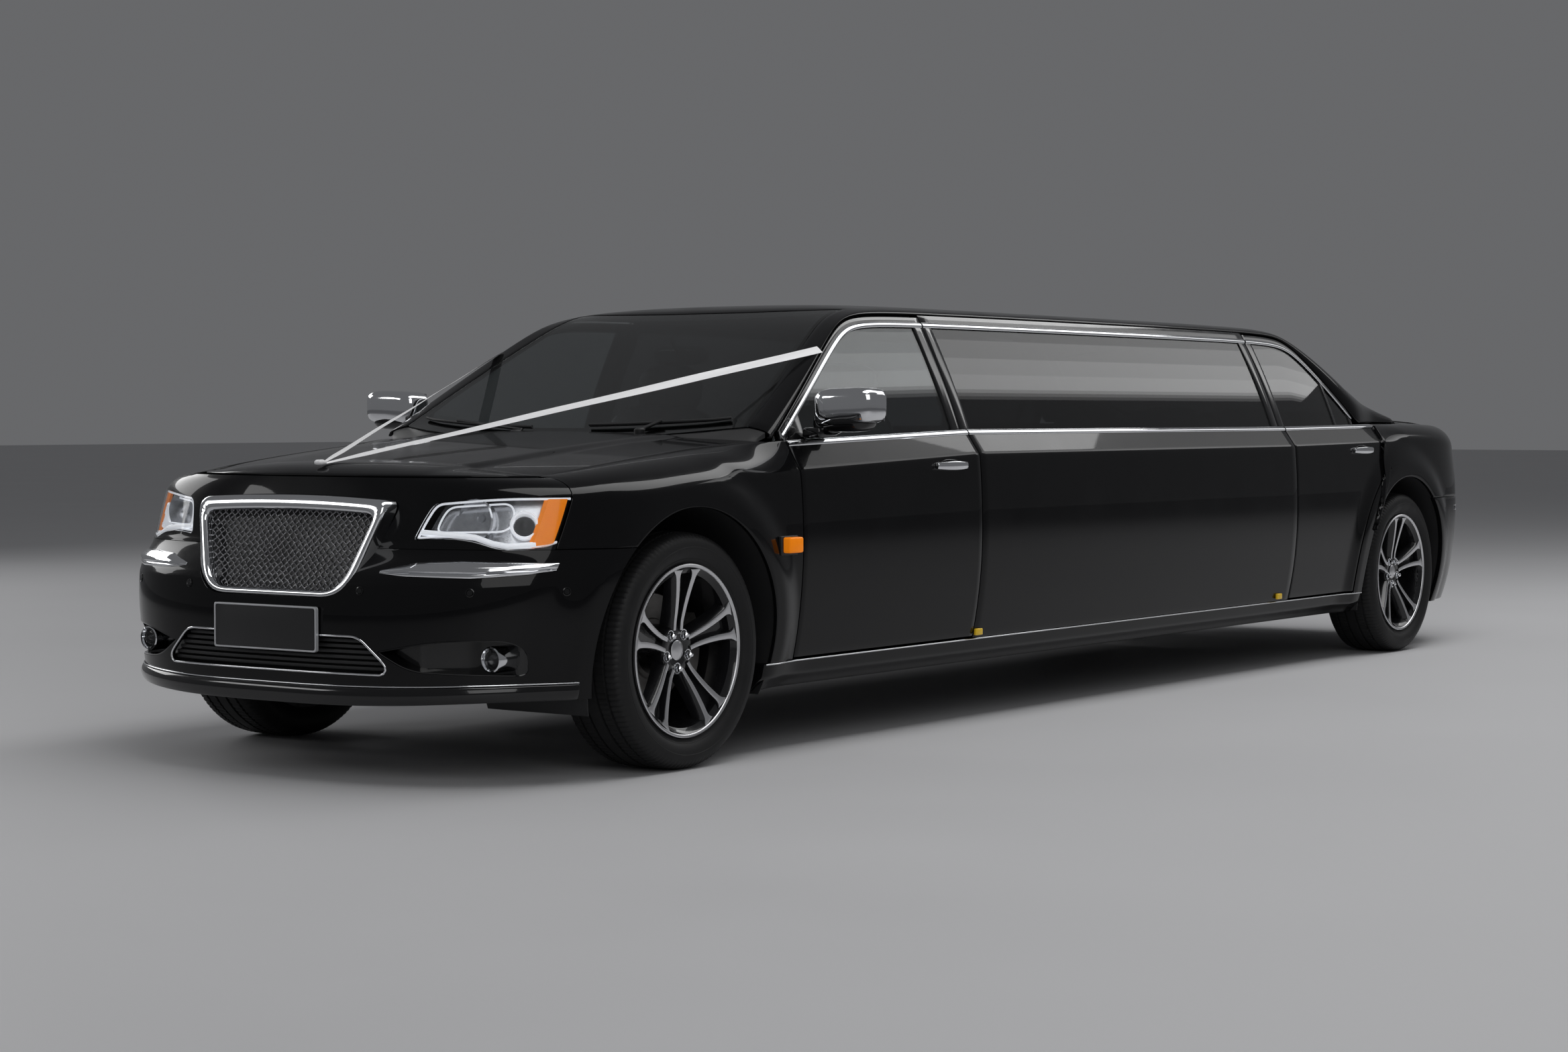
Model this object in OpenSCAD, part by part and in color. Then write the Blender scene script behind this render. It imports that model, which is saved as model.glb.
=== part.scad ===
// Stretch limousine: a four-door saloon lengthened by a fixed cabin section.
// Frame: +X forward, +Y left, +Z up, origin on the floor under the middle of the car.

/* [Overall] */
// Wheelbase of the donor saloon
base_wheelbase = 3050; // [2950:10:3200]
// Length of the inserted cabin section
stretch_len = 2390; // [1500:10:3500]
// Nose ahead of the front axle
front_overhang = 875; // [860:5:920]
// Tail behind the rear axle
rear_overhang = 1115; // [1090:5:1160]
// Half width at the widest line of the doors
half_w = 930; // [915:1:960]
// Height of the roof's crown
roof_h = 1490; // [1470:1:1530]

/* [Body lines] */
// Underside of the sills
sill_bottom = 205; // [190:1:215]
// Lower edge of the doors
sill_top = 300; // [290:1:320]
// Height of the widest line
wide_z = 680; // [640:1:720]
// Shoulder crease at the front door
crease_front = 903; // [885:1:920]
// Shoulder crease at the tail
crease_rear = 962; // [940:1:975]
// Belt line at the front door
belt_front = 1000; // [990:1:1015]
// Belt line at the tail
belt_rear = 1046; // [1035:1:1060]
// Top of the side windows
window_top = 1402; // [1385:1:1410]
// Lean of the side glass, sideways per height
glass_lean = 0.36; // [0.30:0.01:0.42]

/* [Doors] */
// Front door's leading edge behind the front axle
front_door_at = 590; // [580:5:620]
// Length of a front door
front_door_len = 1115; // [1050:5:1150]
// Rear door's leading edge ahead of the rear axle
rear_door_at = 1150; // [1100:5:1200]
// Inner face of the doors and walls from the middle
door_inner = 805; // [790:1:815]
// Gap round doors and lids
shut = 6; // [5.5:0.5:8]
// Gap at a door's hinged edge
hinge_gap = 10; // [9.5:0.5:12]

/* [Wheels] */
// Tyre radius
tyre_r = 364; // [350:1:370]
// Tyre width
tyre_w = 245; // [225:5:255]
// Rim flange radius
rim_r = 266; // [255:1:270]
// Wheel centre from the middle of the car
half_track = 805; // [800:1:815]
// Wheel arch radius
arch_r = 440; // [438:1:450]
// Swell of the wings round the arches
flare = 21; // [10:1:30]

/* [Construction] */
// Thickness of wings, roof and bumpers
skin = 24; // [18:1:30]
// Gap between fixed panels
seam = 0.5; // [0.3:0.1:0.8]
// Radial clearance of pins and spindles
fit = 0.05; // [0.02:0.01:0.1]
// Glass thickness
glass_t = 6; // [5:0.5:8]

/* [Hidden] */
wheelbase = base_wheelbase + stretch_len;
overall = front_overhang + wheelbase + rear_overhang;
xf = overall / 2 - front_overhang;
xr = xf - wheelbase;
x_door = xf - front_door_at;
x_door_rear = x_door - front_door_len;
x_rear_door = xr + rear_door_at;
x_lamp = xf + 444;
nose_from = xf + 100;
tail_from = xr - 150;
nose_n = 3;
tail_n = 3.4;
$fn = 48;

function lerp(a, b, t) = a + (b - a) * t;
function unit(t) = min(1, max(0, t));
function ease(t) = let (u = unit(t)) u * u * (3 - 2 * u);
function soft_min(a, b, k) = (a + b - sqrt((a - b) * (a - b) + k * k)) / 2;
function steps(a, b, n) = [for (i = [0:n]) lerp(a, b, i / n)];

// Lines of the body side along the car
function on_wing(x) = ease((x - x_door + 20) / 380);
function on_tail(x) = ease((xr + 330 - x) / 420);
function along(x) = x > x_door_rear ? 0.7 * unit((x_door - x) / front_door_len)
  : x > x_rear_door ? 0.7 + 0.08 * (x_door_rear - x) / (x_door_rear - x_rear_door)
  : 0.78 + 0.22 * unit((x_rear_door - x) / rear_door_at);
function belt_z(x) = x > x_door
  ? belt_front - 98 * pow(unit((x - x_door) / (x_lamp - x_door)), 1.35)
  : lerp(belt_front, belt_rear, along(x)) - 10 * ease((xr - x) / 1000);
function crease_z(x) = x > x_door
  ? crease_front - 75 * ease((x - x_door) / 1000)
  : lerp(crease_front, crease_rear, along(x)) - 40 * ease((xr - x) / 1000);
function belt_in(x) = 72 + 118 * on_wing(x) + 78 * on_tail(x);

// Swell round a wheel arch
function swell(x, z, xw) = flare * (1 - ease((norm([x - xw, z - tyre_r]) - arch_r) / 210));

// How far the side lies inside the widest line
function inset(x, z) =
  let (zc = crease_z(x), zb = belt_z(x), r = max(on_wing(x), on_tail(x)))
  z <= wide_z ? 42 * pow((wide_z - z) / (wide_z - sill_top), 2)
  : z <= zc ? 12 * pow((z - wide_z) / (zc - wide_z), 2)
  : let (t = unit((z - zc) / (zb - zc)))
    12 + (belt_in(x) - 12) * lerp(t, 1 - sqrt(1 - t * t), r);

// Nose and tail in the middle of the car, by height
function nose_x(z) = xf + front_overhang
  - (z < 330 ? 10 * pow((330 - z) / 125, 2) : 0)
  - 14 * pow(unit((z - 470) / 130), 2) - 88 * ease((z - 585) / 125) - 0.36 * max(0, z - 700);
function tail_x(z) = xr - rear_overhang
  + (z < 380 ? 40 * pow((380 - z) / 175, 2) : 0)
  + (z > 600 ? 70 * pow((z - 600) / 450, 1.6) : 0);
function nose_wrap(x, z) = pow(1 - pow(unit((x - nose_from) / (nose_x(z) - nose_from)), nose_n), 1 / nose_n);
function tail_wrap(x, z) = pow(1 - pow(unit((tail_from - x) / (tail_from - tail_x(z))), tail_n), 1 / tail_n);
function side_y(x, z) = (half_w - inset(x, z) + swell(x, z, xf) + swell(x, z, xr))
  * nose_wrap(x, z) * tail_wrap(x, z);

// Side glass, from the belt upwards
function glass_y(x, z) = let (t = z - belt_z(x))
  half_w - 94 - glass_lean * t - 0.00023 * t * t
  - 30 * pow(unit((xr + 900 - x) / 900), 2);
function window_z(x) = soft_min(
  soft_min(belt_front + 2 + 0.655 * (x_door - 12 - x), window_top, 70),
  belt_rear + 6 + 0.85 * (x - xr - 330), 90);

// A slab between two grids of points, rows by columns; columns then rows turn left-handed seen from outside
module slab(a, b) {
  m = len(a);
  n = len(a[0]);
  function at(i, j, s) = s * m * n + i * n + j;
  quads = concat(
    [for (i = [0:m - 2], j = [0:n - 2]) [at(i, j, 0), at(i, j + 1, 0), at(i + 1, j + 1, 0), at(i + 1, j, 0)]],
    [for (i = [0:m - 2], j = [0:n - 2]) [at(i, j, 1), at(i + 1, j, 1), at(i + 1, j + 1, 1), at(i, j + 1, 1)]],
    [for (j = [0:n - 2]) [at(0, j, 0), at(0, j, 1), at(0, j + 1, 1), at(0, j + 1, 0)]],
    [for (j = [0:n - 2]) [at(m - 1, j, 0), at(m - 1, j + 1, 0), at(m - 1, j + 1, 1), at(m - 1, j, 1)]],
    [for (i = [0:m - 2]) [at(i, 0, 0), at(i + 1, 0, 0), at(i + 1, 0, 1), at(i, 0, 1)]],
    [for (i = [0:m - 2]) [at(i, n - 1, 0), at(i, n - 1, 1), at(i + 1, n - 1, 1), at(i + 1, n - 1, 0)]]);
  polyhedron(
    points = concat([for (r = a) each r], [for (r = b) each r]),
    faces = [for (q = quads) each [[q[0], q[1], q[2]], [q[0], q[2], q[3]]]]);
}

module both() {
  children();
  mirror([0, 1, 0]) children();
}

// Slab of which only the masked cells stand
module masked_slab(a, b, on) {
  m = len(a);
  n = len(a[0]);
  function at(i, j, s) = s * m * n + i * n + j;
  function live(i, j) = i >= 0 && j >= 0 && i < m - 1 && j < n - 1 && on(i, j);
  cells = [for (i = [0:m - 2], j = [0:n - 2]) if (live(i, j)) [i, j]];
  quads = concat(
    [for (c = cells) let (i = c[0], j = c[1])
      [at(i, j, 0), at(i, j + 1, 0), at(i + 1, j + 1, 0), at(i + 1, j, 0)]],
    [for (c = cells) let (i = c[0], j = c[1])
      [at(i, j, 1), at(i + 1, j, 1), at(i + 1, j + 1, 1), at(i, j + 1, 1)]],
    [for (c = cells) let (i = c[0], j = c[1]) if (!live(i - 1, j))
      [at(i, j, 0), at(i, j, 1), at(i, j + 1, 1), at(i, j + 1, 0)]],
    [for (c = cells) let (i = c[0], j = c[1]) if (!live(i + 1, j))
      [at(i + 1, j, 0), at(i + 1, j + 1, 0), at(i + 1, j + 1, 1), at(i + 1, j, 1)]],
    [for (c = cells) let (i = c[0], j = c[1]) if (!live(i, j - 1))
      [at(i, j, 0), at(i + 1, j, 0), at(i + 1, j, 1), at(i, j, 1)]],
    [for (c = cells) let (i = c[0], j = c[1]) if (!live(i, j + 1))
      [at(i, j + 1, 0), at(i, j + 1, 1), at(i + 1, j + 1, 1), at(i + 1, j + 1, 0)]]);
  polyhedron(
    points = concat([for (r = a) each r], [for (r = b) each r]),
    faces = [for (q = quads) each [[q[0], q[1], q[2]], [q[0], q[2], q[3]]]]);
}

// Left body side between two edges, closed by a flat inner face
function body_rows(x, lo) = concat(
  [for (i = [0:7]) lerp(lo, crease_z(x), i / 8)],
  [for (i = [0:3]) lerp(crease_z(x), belt_z(x), i / 3)]);
module wall(first, last, nx, lo, slant) {
  rows = len(body_rows(0, lo));
  a = [for (i = [0:rows - 1]) [for (j = [0:nx])
    let (z0 = body_rows(lerp(first(lo), last(lo), j / nx), lo)[i],
         x0 = lerp(first(z0), last(z0), j / nx), z = body_rows(x0, lo)[i], x = lerp(first(z), last(z), j / nx))
    [x, side_y(x, z), z]]];
  b = [for (r = a) [for (j = [0:nx]) [r[j][0] + slant * pow(1 - j / nx, 6), door_inner, r[j][2]]]];
  slab(a, b);
}

// Left greenhouse strip between two heights
module pane(xs, lo, hi, nz, d0, d1) {
  a = [for (i = [0:nz]) [for (x = xs) let (z = lerp(lo(x), hi(x), i / nz)) [x, glass_y(x, z) - d0, z]]];
  b = [for (r = a) [for (p = r) [p[0], p[1] + d0 - d1, p[2]]]];
  slab(a, b);
}

// Left thin strip on the body side
module strip(xs, lo, hi, nz, d0, d1) {
  a = [for (i = [0:nz]) [for (x = xs) let (z = lerp(lo(x), hi(x), i / nz)) [x, side_y(x, z) - d0, z]]];
  b = [for (r = a) [for (p = r) [p[0], p[1] + d0 - d1, p[2]]]];
  slab(a, b);
}

// Left patch fanned out from a wheel arch to an outline
module arch_patch(xw, from, to, line, n, low) {
  k = len(line) - 1;
  function s(i) = 1 - pow(1 - i / n, 1.6);
  a = [for (i = [0:n]) [for (j = [0:k])
    let (g = lerp(from, to, j / k),
         x = lerp(xw + arch_r * cos(g), line[j][0], s(i)),
         z = lerp(tyre_r + arch_r * sin(g), line[j][1], s(i)))
    [x, side_y(x, z), z]]];
  b = [for (r = a) [for (p = r) let (s = max(0, lean(p[0], p[2])), l = sqrt(1 + s * s))
    [p[0], p[1] - skin / l, p[2] - min(skin * s / l, max(0, p[2] - low))]]];
  slab(a, b);
}
function lean(x, z) = (side_y(x, z - 4) - side_y(x, z)) / 4;

// Greenhouse top: windscreen, roof and rear window are one surface
rail_gap = 44;
glass_edge = 60;
function rail_z(x) = max(window_z(x) + rail_gap, belt_z(x) + shut);
function crown_z(x) = soft_min(
  soft_min(1008 + 0.54 * (xf - 420 - x), roof_h, 60),
  1086 + 0.43 * (x - xr + 340), 60);
function rail_y(x) = glass_y(x, rail_z(x)) - 45 * ease((xr + 330 - x) / 400);
function bow(g) = pow(min(1, abs(g) / glass_edge), 2);
function top_x(s, g) = let (
    a = lerp(xf - 425, x_door + 40, bow(g)),
    h = lerp(xf - 1275, xf - 1335, bow(g)),
    r = lerp(xr + 500, xr + 560, bow(g)),
    d = lerp(xr - 340, xr - 250, bow(g)))
  s < 1 ? lerp(a, h, s) : s < 2 ? lerp(h, r, s - 1) : lerp(r, d, s - 2);
function top_pt(s, g, t) = let (
    f = 90 - abs(g), x = top_x(s, g), side = g < 0 ? -1 : 1, z0 = rail_z(x),
    y = rail_y(x) * pow(cos(f), 0.8), z = z0 + (crown_z(x) - z0) * pow(sin(f), 0.8))
  [x, side * (y - t * cos(f)), z - t * sin(f)];
top_cols = [-90, -82, -73, -60, -45, -30, -15, 0, 15, 30, 45, 60, 73, 82, 90];
roof_rows = concat(steps(3, 2, 7), [1.965, 1.935, 1.91, 1.885, 1.86, 1.83, 1.79, 1.72, 1.5, 1.28, 1.15, 1.07, 1.035], steps(1, 0, 7));

// Nose and tail shells
function nose_pt(q, z, t) = let (
    span = nose_x(z) - nose_from, c = pow(cos(q), 2 / nose_n), x = nose_from + span * c,
    y = side_y(x, z))
  [nose_from + span * c * (1 - t / span), (q < 0 ? -1 : 1) * y * (1 - t / half_w), z];
function nose_q(x, z, t) = acos(pow((x - nose_from) / (nose_x(z) - nose_from - t), nose_n / 2));
function tail_pt(q, z, t) = let (
    span = tail_from - tail_x(z), c = pow(cos(q), 2 / tail_n), x = tail_from - span * c,
    y = side_y(x, z))
  [tail_from - span * c * (1 - t / span), (q < 0 ? -1 : 1) * y * (1 - t / half_w), z];
function tail_q(x, z, t) = acos(pow((tail_from - x) / (tail_from - tail_x(z) - t), tail_n / 2));
// Rear edge of the headlamp and of the nose panel behind it
function lamp_edge(z) = xf + 528 - 0.44 * (z - 712);
function arch_dx(z) = sqrt(arch_r * arch_r - (z - tyre_r) * (z - tyre_r));
module nose_shell(qs, zs, d0, d1, edge_x) {
  a = [for (z = zs) [for (q = qs) nose_pt(-q * nose_q(edge_x(z), z, d0), z, d0)]];
  b = [for (z = zs) [for (q = qs) nose_pt(-q * nose_q(edge_x(z), z, d1), z, d1)]];
  slab(a, b);
}
module tail_shell(qs, zs, d0, d1, edge_x) {
  a = [for (z = zs) [for (q = qs) tail_pt(q * tail_q(edge_x(z), z, d0), z, d0)]];
  b = [for (z = zs) [for (q = qs) tail_pt(q * tail_q(edge_x(z), z, d1), z, d1)]];
  slab(a, b);
}

// Floor, posts and rails
post_x = 34;
hinge_in = 20;
hinge_back = 50;
hinge_zs = [545, 790];
hinge_pin = 5;
function hinge_y() = half_w - hinge_in;
module hinge_strap(x) {
  // Eye on the pin, arm inward and forward to the post
  for (z = hinge_zs) translate([x - hinge_gap - hinge_back, hinge_y(), z - 18]) {
    difference() {
      union() {
        cylinder(r = 9, h = 36, $fn = 32);
        translate([-7, -62, 0]) cube([14, 60, 36]);
        translate([-7, -62, 0]) cube([hinge_back + hinge_gap + post_x + 12, 14, 36]);
      }
      translate([0, 0, -1]) cylinder(r = hinge_pin + fit, h = 38, $fn = 32);
    }
  }
}
module chassis() color([0.06, 0.06, 0.065]) {
  firewall = xf - 470;
  kick = xr + 470;
  union() {
    translate([kick - 10, -door_inner + 5, 215]) cube([firewall - kick + 10, 2 * door_inner - 10, 40]);
    translate([firewall - 24, -700, 250]) cube([24, 1400, 640]);
    both() {
      for (x = [x_door, x_rear_door]) {
        translate([x + post_x - 4, 700, 250]) cube([46, 98, 640]);
        translate([x + post_x - 4, 790, 312]) cube([46, 70, 558]);
        hinge_strap(x);
      }
      translate([xf - 480, 380, 320]) cube([1130, 64, 110]);
      translate([xf - 60, 380, 240]) cube([120, 63.7, 245]);
      translate([xr - 980, 420, 330]) cube([1470, 64, 110]);
      lid_eye(hood_axis, 750, 120);
      lid_eye(deck_axis, 700, 30);
      translate([deck_axis[0] - 9, 560, 455]) cube([18, 40, deck_axis[1] - 485]);
      translate([deck_axis[0] - 9, 560, deck_axis[1] - 60]) cube([18, 178, 30]);
    }
    translate([xf + 610, -600, 260]) cube([40, 1200, 420]);
    translate([kick - 24, -690, 215]) cube([24, 1380, 260]);
    translate([xr - 980, -600, 435]) cube([1460, 1200, 30]);
    translate([xr - 1000, -600, 330]) cube([30, 1200, 330]);
  }
}

module side_sills() color([0.015, 0.015, 0.017]) both() {
  xs = steps(kick_sill(), xf - 402, 8);
  zs = [sill_bottom, 228, 252, 274, sill_top - shut];
  a = [for (z = zs) [for (x = xs) [x, side_y(x, z) - (z < 240 ? 0.6 * (240 - z) : 0), z]]];
  b = [for (z = zs) [for (x = xs) [x, door_inner - 5, z]]];
  slab(a, b);
}
function kick_sill() = xr + 436;

// Stations along the hood's edge, the same on wing and hood
function belt_xs() = concat([x_door + 68], [for (t = steps(0.15, 1, 9)) lerp(x_door, x_lamp, t)]);
function wing_line() = concat(
  [for (t = steps(0, 1, 6)) [x_door, lerp(sill_top - shut + seam, belt_z(x_door), t)]],
  [for (x = belt_xs()) [x, belt_z(x)]],
  [for (t = steps(0.2, 1, 4)) let (z = lerp(belt_z(x_lamp), 690 + seam, t)) [lamp_edge(z), z]]);
module wings() color([0.015, 0.015, 0.017]) both() {
  arch_patch(xf, 180 + asin((tyre_r - sill_top + shut - seam) / arch_r), asin((690 + seam - tyre_r) / arch_r),
    wing_line(), 8, 690 + seam);
}

tail_edge = -800;
function rear_door_x(z) = xr + max(215, z < 860 ? sqrt(max(0, pow(516, 2) - pow(z - tyre_r, 2))) : 0);
function quarter_line() = concat(
  [for (t = steps(0, 1, 4)) [xr + tail_edge, lerp(700 + seam, belt_z(xr + tail_edge), t)]],
  [for (t = steps(0.1, 1, 9)) let (x = lerp(xr + tail_edge, xr + 215, t)) [x, belt_z(x)]],
  [for (i = [10:-1:0]) let (z = body_rows(xr + 215, sill_top - shut + seam)[i]) [rear_door_x(z), z]]);
module quarters() color([0.015, 0.015, 0.017]) both() {
  arch_patch(xr, 180 - asin((700 + seam - tyre_r) / arch_r), -asin((tyre_r - sill_top + shut - seam) / arch_r),
    quarter_line(), 8, 700 + seam);
}

// Window stations, the same on frame and glass
function ends(xs, g) = [for (i = [0:len(xs) - 1]) xs[i] + (i == 0 ? g : i == len(xs) - 1 ? -g : 0)];
function stretch_xs(g) = ends(steps(x_rear_door + 60, x_door_rear - 60, 12), g);
function front_xs(g) = ends(steps(x_door_rear + shut + 56, x_door - hinge_gap - 140, 9), g);
function rear_xs(g) = ends(steps(xr + quarter_bar + 12, x_rear_door - hinge_gap - 56, 9), g);
function corner_xs(g) = ends(steps(xr + 380, xr + quarter_bar - 12, 4), g);
module stretch_panels() color([0.015, 0.015, 0.017]) both() {
  x0 = x_rear_door;
  x1 = x_door_rear;
  difference() {
    wall(function(z) x0, function(z) x1, 6, sill_top - shut + seam, 0);
    translate([x0 - 1, 700, 280]) cube([post_x + 50, half_w - 26 - 700, 640]);
  }
  pane(concat([x0], stretch_xs(0), [x1]), function(x) window_z(x), function(x) rail_z(x) - seam - 0.2, 1, 0, 34);
  for (x = [x0, x1 - 60])
    pane([x, x + 30, x + 60], function(x) belt_z(x) - 26, function(x) window_z(x) + 12, 5, 0, 34);
}

module roof() color([0.015, 0.015, 0.017]) {
  a = [for (s = roof_rows) [for (g = top_cols) top_pt(s, g, 0)]];
  b = [for (s = roof_rows) [for (g = top_cols) top_pt(s, g, 30)]];
  masked_slab(a, b, function(i, j)
    (j < 3 || j >= 11) || (roof_rows[i] <= 2 && roof_rows[i + 1] >= 1));
}

module top_glass(from, to) {
  rows = steps(to, from, 7);
  cols = steps(-59.8, 59.8, 8);
  slab([for (s = rows) [for (g = cols) top_pt(s, g, 2)]], [for (s = rows) [for (g = cols) top_pt(s, g, 2 + glass_t)]]);
}
module windscreen() color([0.3, 0.35, 0.36, 0.4]) top_glass(0.002, 0.999);
module rear_window() color([0.2, 0.22, 0.23, 0.5]) top_glass(2.001, 2.998);

module side_glass() color([0.1, 0.11, 0.12, 0.5]) both() {
  pane(stretch_xs(0.4), function(x) belt_z(x) + 0.4, function(x) window_z(x) - 0.4, 5, 9, 9 + glass_t);
}

// Outlines of the openings in the nose, in y and z
grille_line = [[-368, 826], [368, 826], [381, 812], [298, 580], [262, 545], [-262, 545], [-298, 580], [-381, 812]];
lamp_line = [[461, 715], [635, 717], [723, 688], [807, 694], [837, 712], [1000, 712], [1000, 846], [694, 844],
  [505, 827], [481, 778]];
intake_line = [[-355, 428], [355, 428], [440, 335], [425, 288], [-425, 288], [-440, 335]];
fog_line = [[409, 386], [511, 286], [700, 288], [795, 309], [800, 400], [768, 425], [606, 425]];
fog_at = [690, 716, 372];
fog_r = 48;
nest = 0.4;
module through_nose(line, from) translate([xf + from, 0, 0]) rotate([90, 0, 90])
  linear_extrude(800) polygon(line);
module front_bumper() color([0.015, 0.015, 0.017]) difference() {
  union() {
    nose_shell(steps(-1, 1, 26), [sill_bottom, 250, 300, 400, 500, 570, 605, 640, 665, 690], 0, skin,
      function(z) xf + arch_dx(z));
    nose_shell(steps(-1, 1, 26), [676, 705, 760, 820, hood_front_z - 26], 0, skin,
      function(z) lamp_edge(z) + seam);
  }
  through_nose(grille_line, 300);
  through_nose(intake_line, 300);
  both() {
    through_nose(lamp_line, 300);
    through_nose(fog_line, 300);
  }
}

module rear_bumper() color([0.015, 0.015, 0.017]) {
  difference() {
    tail_shell(steps(-1, 1, 26), steps(sill_bottom, 700, 8), 0, skin, function(z) xr - arch_dx(z));
    both() translate([xr - 1300, 520, 285]) rotate([0, 90, 0]) cylinder(r = 46, h = 500);
  }
}

module lamp_body(d0, d1, cut) intersection() {
  nose_shell(steps(-1, -0.25, 12), [650, 690, 710, 760, 820, 870], d0, d1, function(z) lamp_edge(z) + seam);
  translate([xf + 300, 0, 0]) rotate([90, 0, 90]) linear_extrude(800)
    translate([660, 770]) scale(cut) translate([-660, -770]) polygon(lamp_line);
}
module headlamps() color([0.75, 0.76, 0.78]) both() lamp_body(30, 70, 0.996);
module headlamp_lenses() color([0.8, 0.85, 0.9, 0.3]) both() lamp_body(0, 29.5, 0.996);

// Grille, leaning with the nose
grille_lean = 16.5;
module grille_plane(d) translate([xf + 846 - d, 0, 545]) rotate([0, -grille_lean, 0]) translate([0, 0, -545])
  rotate([90, 0, 90]) children();
module nose_prism() translate([xf + 300, 0, 0]) rotate([90, 0, 90]) linear_extrude(800) children();
module grille_inner() translate([0, -8]) offset(delta = -30) polygon(grille_line);
module grille_surround() color([0.8, 0.81, 0.83]) intersection() {
  nose_prism() difference() {
    offset(delta = -nest) polygon(grille_line);
    grille_inner();
  }
  grille_plane(60) translate([-500, 400]) linear_extrude(72) square([1000, 600]);
}
module grille_mesh() color([0.12, 0.12, 0.13]) intersection() {
  nose_prism() offset(delta = -nest) grille_inner();
  for (way = [-1, 1]) grille_plane(way > 0 ? 40 : 32) linear_extrude(8)
    for (i = [-9:9]) translate([i * 62, 690]) rotate(42 * way) square([5, 900], center = true);
}
module lower_grille() color([0.05, 0.05, 0.055]) intersection() {
  nose_shell(steps(-1, 1, 10), [270, 330, 390, 440], 3, 40, function(z) xf + 780);
  nose_prism() difference() {
    offset(delta = -nest) polygon(intake_line);
    for (z = [300, 322, 344, 366, 388, 408]) translate([-340, z]) square([680, 12]);
  }
}
module fog_pockets() color([0.05, 0.05, 0.055]) both() difference() {
  intersection() {
    nose_shell(steps(-1, -0.3, 12), [270, 330, 390, 440], 2, 62, function(z) xf + 480);
    nose_prism() offset(delta = -nest) polygon(fog_line);
  }
  intersection() {
    nose_shell(steps(-1, -0.3, 12), [270, 330, 390, 440], -20, 54, function(z) xf + 480);
    nose_prism() offset(delta = -8) polygon(fog_line);
  }
  translate([xf + 300, fog_at[1], fog_at[2]]) rotate([0, 90, 0]) cylinder(r = fog_r + nest, h = 800);
}
module fog_lamps() color([0.7, 0.71, 0.74]) both()
  translate([xf + fog_at[0] - 90, fog_at[1], fog_at[2]]) rotate([0, 90, 0]) difference() {
    cylinder(r = fog_r, h = 90);
    translate([0, 0, 70]) cylinder(r = fog_r - 9, h = 30);
  }

module tail_lamps() color([0.35, 0.02, 0.02]) both() {
  z0 = 700 + seam;
  zs = steps(z0, 1004, 7);
  x = xr + tail_edge - seam;
  a = [for (z = zs) [for (q = steps(tail_at(655, z, 0), tail_q(x, z, 0), 8)) tail_pt(q, z, 0)]];
  b = [for (z = zs) [for (q = steps(tail_at(655, z, 60), tail_q(x, z, 60), 8)) tail_pt(q, z, 60)]];
  slab(a, b);
}
function tail_at(y, z, t) = lookup(y, [for (q = steps(0, 70, 70)) [tail_pt(q, z, t)[1], q]]);

module marker_lamps() color([0.9, 0.5, 0.1]) both() {
  translate([xf - 485 - 26, max(side_y(xf - 459, 650), side_y(xf - 459, 696)) - 0.4, 650]) cube([52, 12, 46]);
  for (x = [x_door_rear - 22, x_rear_door + 110])
    translate([x - 20, side_y(x, 327) + 0.4, 305]) cube([40, 8, 22]);
}
module bright_strips() color([0.8, 0.81, 0.83]) both() {
  pane(steps(x_rear_door + 4, x_door_rear - 4, 8), function(x) window_z(x) - 2, function(x) window_z(x) + 16,
    1, -5, -0.3);
  strip(steps(x_rear_door, x_door_rear, 6), function(x) belt_z(x) - 16, function(x) belt_z(x) - 1, 1, -6, -0.3);
}

module engine() color([0.2, 0.2, 0.21]) {
  translate([xf - 380, -330, 265]) cube([760, 660, 520]);
  translate([xf - 200, -379.6, 340]) cube([120, 759.2, 70]);
}

// Suspension, spindles and brakes
king_y = half_track - 100;
module spindle_block() {
  // Spindle along the wheel axis, brake caliper round the disc
  rotate([-90, 0, 0]) {
    translate([0, 0, -120]) cylinder(r = 31, h = 156);
    translate([0, 0, -122]) cylinder(r = 62, h = 42);
    rotate(150) rotate_extrude(angle = 60)
      polygon([[60, -96], [206, -96], [206, -4], [125, -4], [125, -26], [186, -26], [186, -66], [60, -66]]);
  }
}
module knuckle() {
  spindle_block();
  translate([-46, -148, -76]) cube([92, 80, 152]);
  translate([0, king_y - half_track, -118]) cylinder(r = 14, h = 236);
}
module knuckle_left() color([0.3, 0.3, 0.31]) translate([xf, half_track, tyre_r]) knuckle();
module knuckle_right() color([0.3, 0.3, 0.31]) mirror([0, 1, 0]) translate([xf, half_track, tyre_r]) knuckle();
module front_arms() color([0.1, 0.1, 0.1]) both() {
  for (z = [tyre_r - 116, tyre_r + 80]) difference() {
    union() {
      translate([xf, king_y, z]) cylinder(r = 26, h = 34);
      translate([xf - 24, 444, z]) cube([48, king_y - 444, 34]);
    }
    translate([xf, king_y, z - 1]) cylinder(r = 14 + fit, h = 36);
  }
}
module rear_axle() color([0.1, 0.1, 0.1]) {
  both() {
    translate([xr, half_track, tyre_r]) spindle_block();
    translate([xr - 46, 484, tyre_r - 40]) cube([92, half_track - 100 - 484, 80]);
  }
  translate([xr - 110, -419.7, tyre_r - 100]) cube([220, 839.4, 165]);
}

module exhaust() color([0.45, 0.45, 0.46]) both() {
  translate([xr - 1090, 520, 285]) rotate([0, 90, 0]) difference() {
    cylinder(r = 38, h = 520);
    translate([0, 0, -1]) cylinder(r = 34, h = 200);
  }
  translate([xr - 760, 400, 236]) cube([300, 240, 93.7]);
}
module fuel_tank() color([0.12, 0.12, 0.13]) translate([xr + 150, -380, 250]) cube([295.6, 760, 184.7]);

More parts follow.
